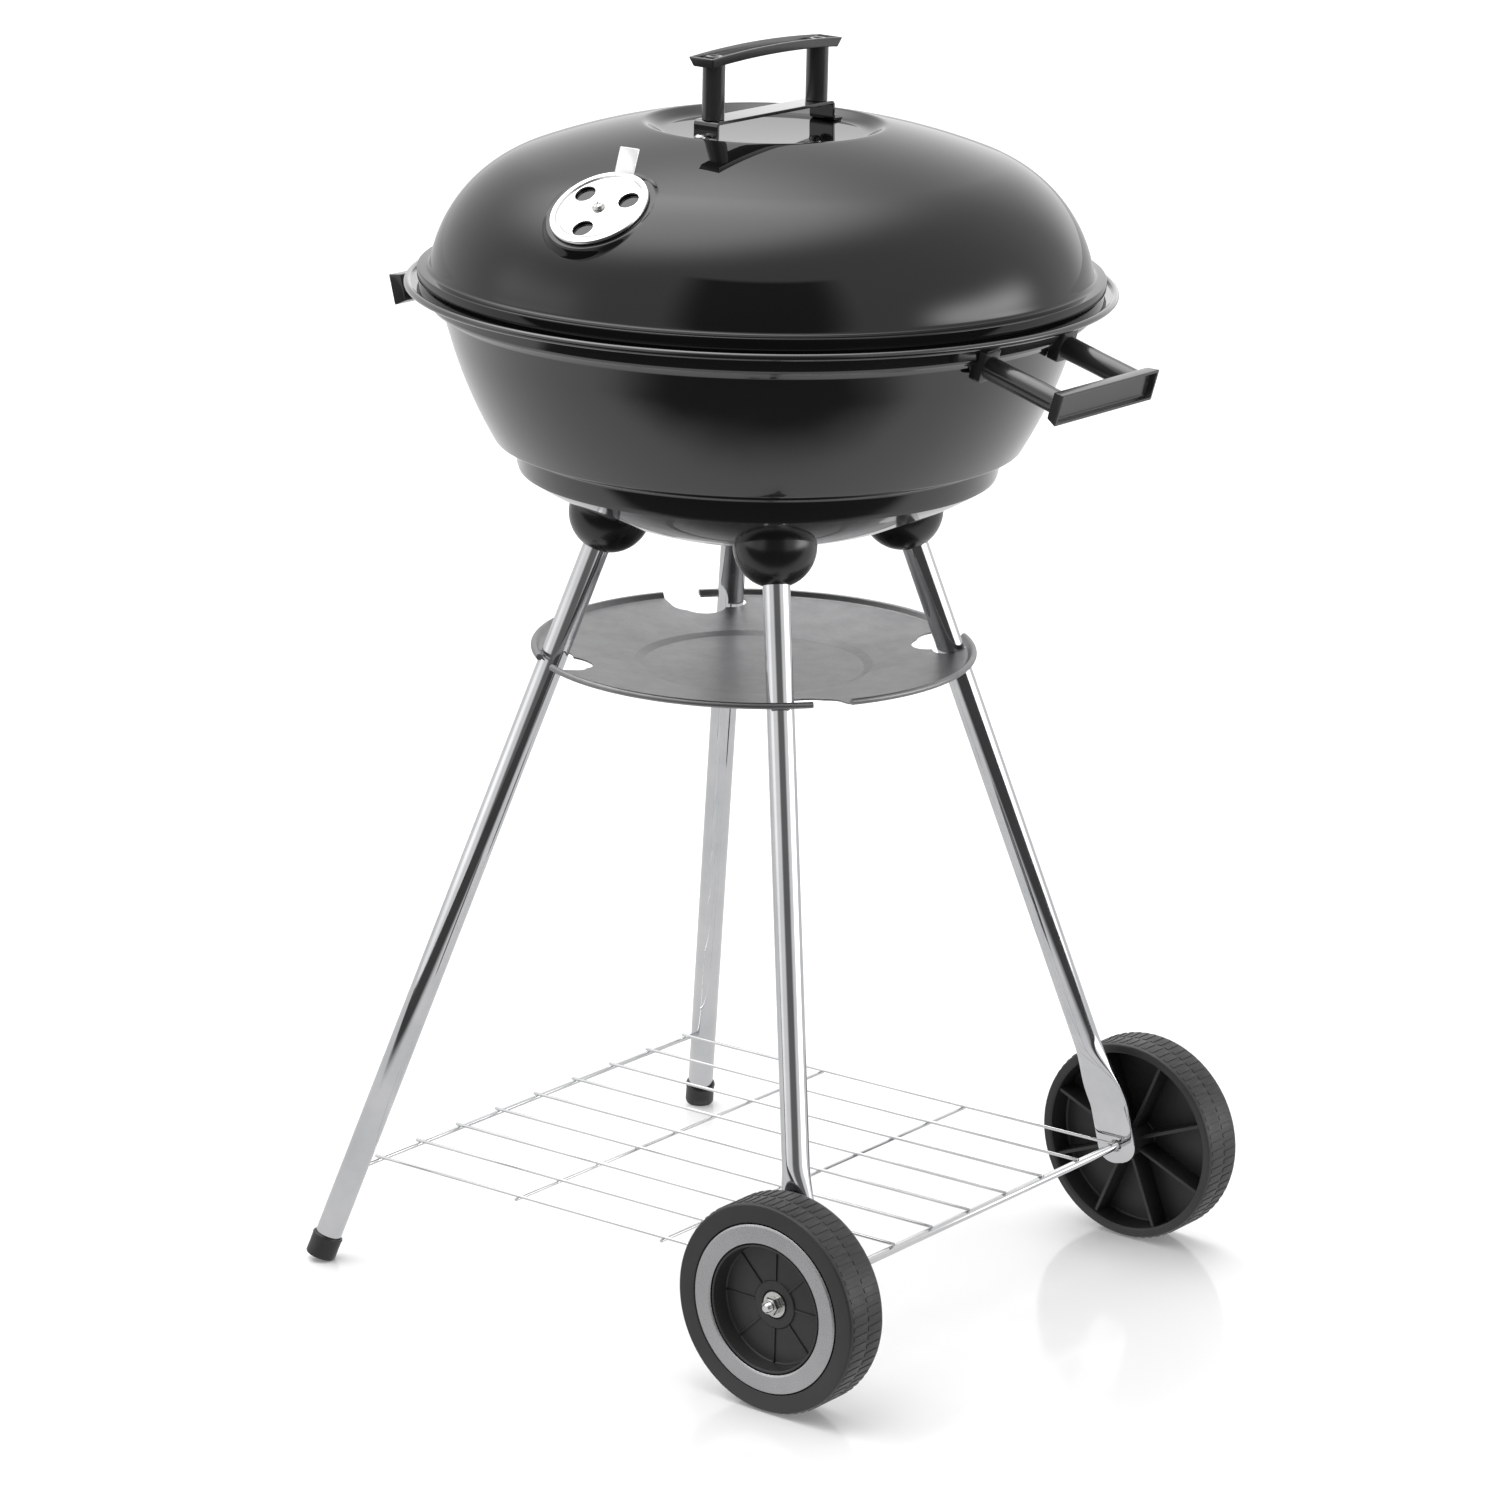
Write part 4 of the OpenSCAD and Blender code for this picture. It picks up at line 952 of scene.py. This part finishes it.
nut_face = high("hub_nuts").y
nut_corner_r = 5 / math.cos(math.pi / 6)
hexagon = [(nut_corner_r * math.cos(math.tau * k / 6), nut_corner_r * math.sin(math.tau * k / 6)) for k in range(6)]
nut = slab_mesh(soften([(x, y, 0.3) for x, y in hexagon]), nut_face - 5, nut_face - 0.2, 0.45)
crown = turned_mesh(soften([(3.1, nut_face - 0.4), (4.7, nut_face - 0.4, 0.2), (4.4, nut_face, 0.1),
                            (3.3, nut_face, 0.2), (3.1, nut_face - 0.3)]), 48)
nuts = [moved(part, ALONG_Y[side]) for side in (-1, 1) for part in (nut, crown)]
make("hub_nuts_shaped", merged(nuts), HERE, "frame", "zinc_fasteners", ["hub_nuts"])

# ------------------------------------------------------------------ floor, light and camera

CAMERA_AZ = math.radians(37.724)
CAMERA_EL = math.radians(16.163)
CAMERA_ROLL = math.radians(1.219)
FRONT = Vector((math.sin(CAMERA_AZ), -math.cos(CAMERA_AZ), 0))
SIDE = Vector((math.cos(CAMERA_AZ), math.sin(CAMERA_AZ), 0))


class Studio:
    """Small node-tree helper for the floor and the surrounding studio."""

    def __init__(self, tree):
        self.tree = tree

    def node(self, kind, **inputs):
        made = self.tree.nodes.new(kind)
        for key, value in inputs.items():
            self.put(made, key.replace("_", " "), value)
        return made

    def put(self, node, key, value):
        if isinstance(value, bpy.types.NodeSocket):
            self.tree.links.new(value, node.inputs[key])
        else:
            node.inputs[key].default_value = value

    def ramp(self, value, start, stop, low, high):
        made = self.node("ShaderNodeMapRange", From_Min=start, From_Max=stop, To_Min=low, To_Max=high, Value=value)
        made.interpolation_type = "SMOOTHSTEP"
        return made.outputs["Result"]

    def along(self, vector, axis):
        made = self.node("ShaderNodeVectorMath")
        made.operation = "DOT_PRODUCT"
        self.put(made, 0, vector)
        made.inputs[1].default_value = axis
        return made.outputs["Value"]

    def sum(self, kind, a, b):
        made = self.node("ShaderNodeMath")
        made.operation = kind
        self.put(made, 0, a)
        self.put(made, 1, b)
        return made.outputs["Value"]

    def by_ray(self, for_light, for_view, output):
        """One shader for light and reflections, another for what is seen directly."""
        which = self.node("ShaderNodeMixShader", Fac=self.node("ShaderNodeLightPath").outputs["Is Camera Ray"])
        self.put(which, 1, for_light.outputs[0])
        self.put(which, 2, for_view.outputs[0])
        self.put(self.node(output), "Surface", which.outputs[0])


# The floor is a glossy white table. For light and reflections it is a painted glow, bounce light that fades towards
# the front, so in reflections it ends a little way in front of the grill.
floor_paint = bpy.data.materials.new("floor_look")
floor_paint.use_nodes = True
table = Studio(floor_paint.node_tree)
table.tree.nodes.clear()
on_floor = table.node("ShaderNodeTexCoord").outputs["Object"]
cloud = table.node("ShaderNodeTexNoise", Vector=on_floor, Scale=2.5).outputs["Fac"]
edge = table.sum("ADD", table.along(on_floor, FRONT), table.sum("MULTIPLY", cloud, 0.12))
gloss = table.node("ShaderNodeBsdfPrincipled")
gloss.inputs["Base Color"].default_value = (0.85, 0.85, 0.85, 1)
gloss.inputs["Emission Color"].default_value = (1, 1, 1, 1)
gloss.inputs["Emission Strength"].default_value = 0.12
table.put(gloss, "Roughness", table.ramp(cloud, 0.3, 0.7, 0.10, 0.13))
# Painted bounce light: the floor's glow for light and reflection rays, weaker towards the front.
bounce = table.node("ShaderNodeEmission", Strength=table.ramp(edge, 0.42, 0.75, 0.72, 0.06))
table.by_ray(bounce, gloss, "ShaderNodeOutputMaterial")
FLOOR_HALF = 30000
floor_corners = [(x * FLOOR_HALF, y * FLOOR_HALF, -0.3) for x, y in ((-1, -1), (1, -1), (1, 1), (-1, 1))]
floor = place("floor", floor_corners, [(0, 1, 2, 3)], HERE, floor_paint, None, None)

# The studio: a large soft panel overhead, a white wall behind, grey sides with a soft lamp each, a dark front.
world = bpy.data.worlds.new("studio")
bpy.context.scene.world = world
world.use_nodes = True
room = Studio(world.node_tree)
room.tree.nodes.clear()
heading = room.node("ShaderNodeTexCoord").outputs["Generated"]
height = room.along(heading, (0, 0, 1))
level_part = room.sum("SUBTRACT", 1.0, room.sum("MULTIPLY", height, height))
flat = room.sum("SQRT", room.sum("MAXIMUM", level_part, 0.0001), 0)
facing = room.sum("DIVIDE", room.along(heading, FRONT), flat)
aside = room.sum("DIVIDE", room.along(heading, SIDE), flat)


def both(a, b):
    return room.sum("MULTIPLY", a, b)


def glow(value, middle, spread):
    """A soft bump: 1 where value is at middle, falling off over spread."""
    away = room.sum("DIVIDE", room.sum("SUBTRACT", value, middle), spread)
    return room.sum("EXPONENT", both(both(away, away), -1.0), 0)


def toward(azimuth, elevation=0.0):
    """A direction, with azimuth 0 at the front and 90 at the right, in degrees."""
    a, e = math.radians(azimuth), math.radians(elevation)
    return FRONT * math.cos(a) * math.cos(e) + SIDE * math.sin(a) * math.cos(e) + Vector((0, 0, math.sin(e)))


def beside(azimuth):
    """How far the heading's compass direction agrees with an azimuth, from -1 to 1."""
    ahead, right = math.cos(math.radians(azimuth)), math.sin(math.radians(azimuth))
    return room.sum("ADD", both(facing, ahead), both(aside, right))


panel = both(glow(room.along(heading, toward(-130, 70)), 1.0, 0.16), 3.0)
right_lamp = both(both(glow(beside(82), 1.0, 0.075), glow(height, 0.15, 0.15)), 4.0)
left_lamp = both(both(glow(beside(-85), 1.0, 0.06), glow(height, 0.2, 0.2)), 0.6)
behind = both(both(glow(beside(165), 1.0, 0.08), glow(height, 0.1, 0.35)), 0.45)
dark_front = both(room.ramp(facing, 0.80, 0.95, 0.0, 0.82), room.ramp(height, 0.70, 0.74, 1.0, 0.0))
grey_walls = 0.8
whole = room.sum("ADD", room.sum("ADD", room.sum("ADD", panel, right_lamp), room.sum("ADD", left_lamp, behind)),
                 grey_walls)
strength = both(whole, room.sum("SUBTRACT", 1.0, dark_front))
lit = room.node("ShaderNodeBackground", Strength=strength, Color=(1, 1, 1, 1))
backdrop = room.node("ShaderNodeBackground", Strength=1.0, Color=(1, 1, 1, 1))
room.by_ray(lit, backdrop, "ShaderNodeOutputWorld")
bpy.context.scene.view_settings.view_transform = "Standard"

CAMERA_AT = Vector((1.9923, -2.5772, 1.2781))
back = Vector((math.sin(CAMERA_AZ) * math.cos(CAMERA_EL), -math.cos(CAMERA_AZ) * math.cos(CAMERA_EL),
               math.sin(CAMERA_EL)))
rise = back.cross(SIDE)
right = SIDE * math.cos(CAMERA_ROLL) + rise * math.sin(CAMERA_ROLL)
above = rise * math.cos(CAMERA_ROLL) - SIDE * math.sin(CAMERA_ROLL)
camera_data = bpy.data.cameras.new("camera")
camera_data.lens = 128.95
camera_data.sensor_width = 36
camera = bpy.data.objects.new("camera", camera_data)
bpy.context.scene.collection.objects.link(camera)
camera.matrix_world = Matrix.Translation(CAMERA_AT) @ Matrix((right, above, back)).transposed().to_4x4()
bpy.context.scene.camera = camera
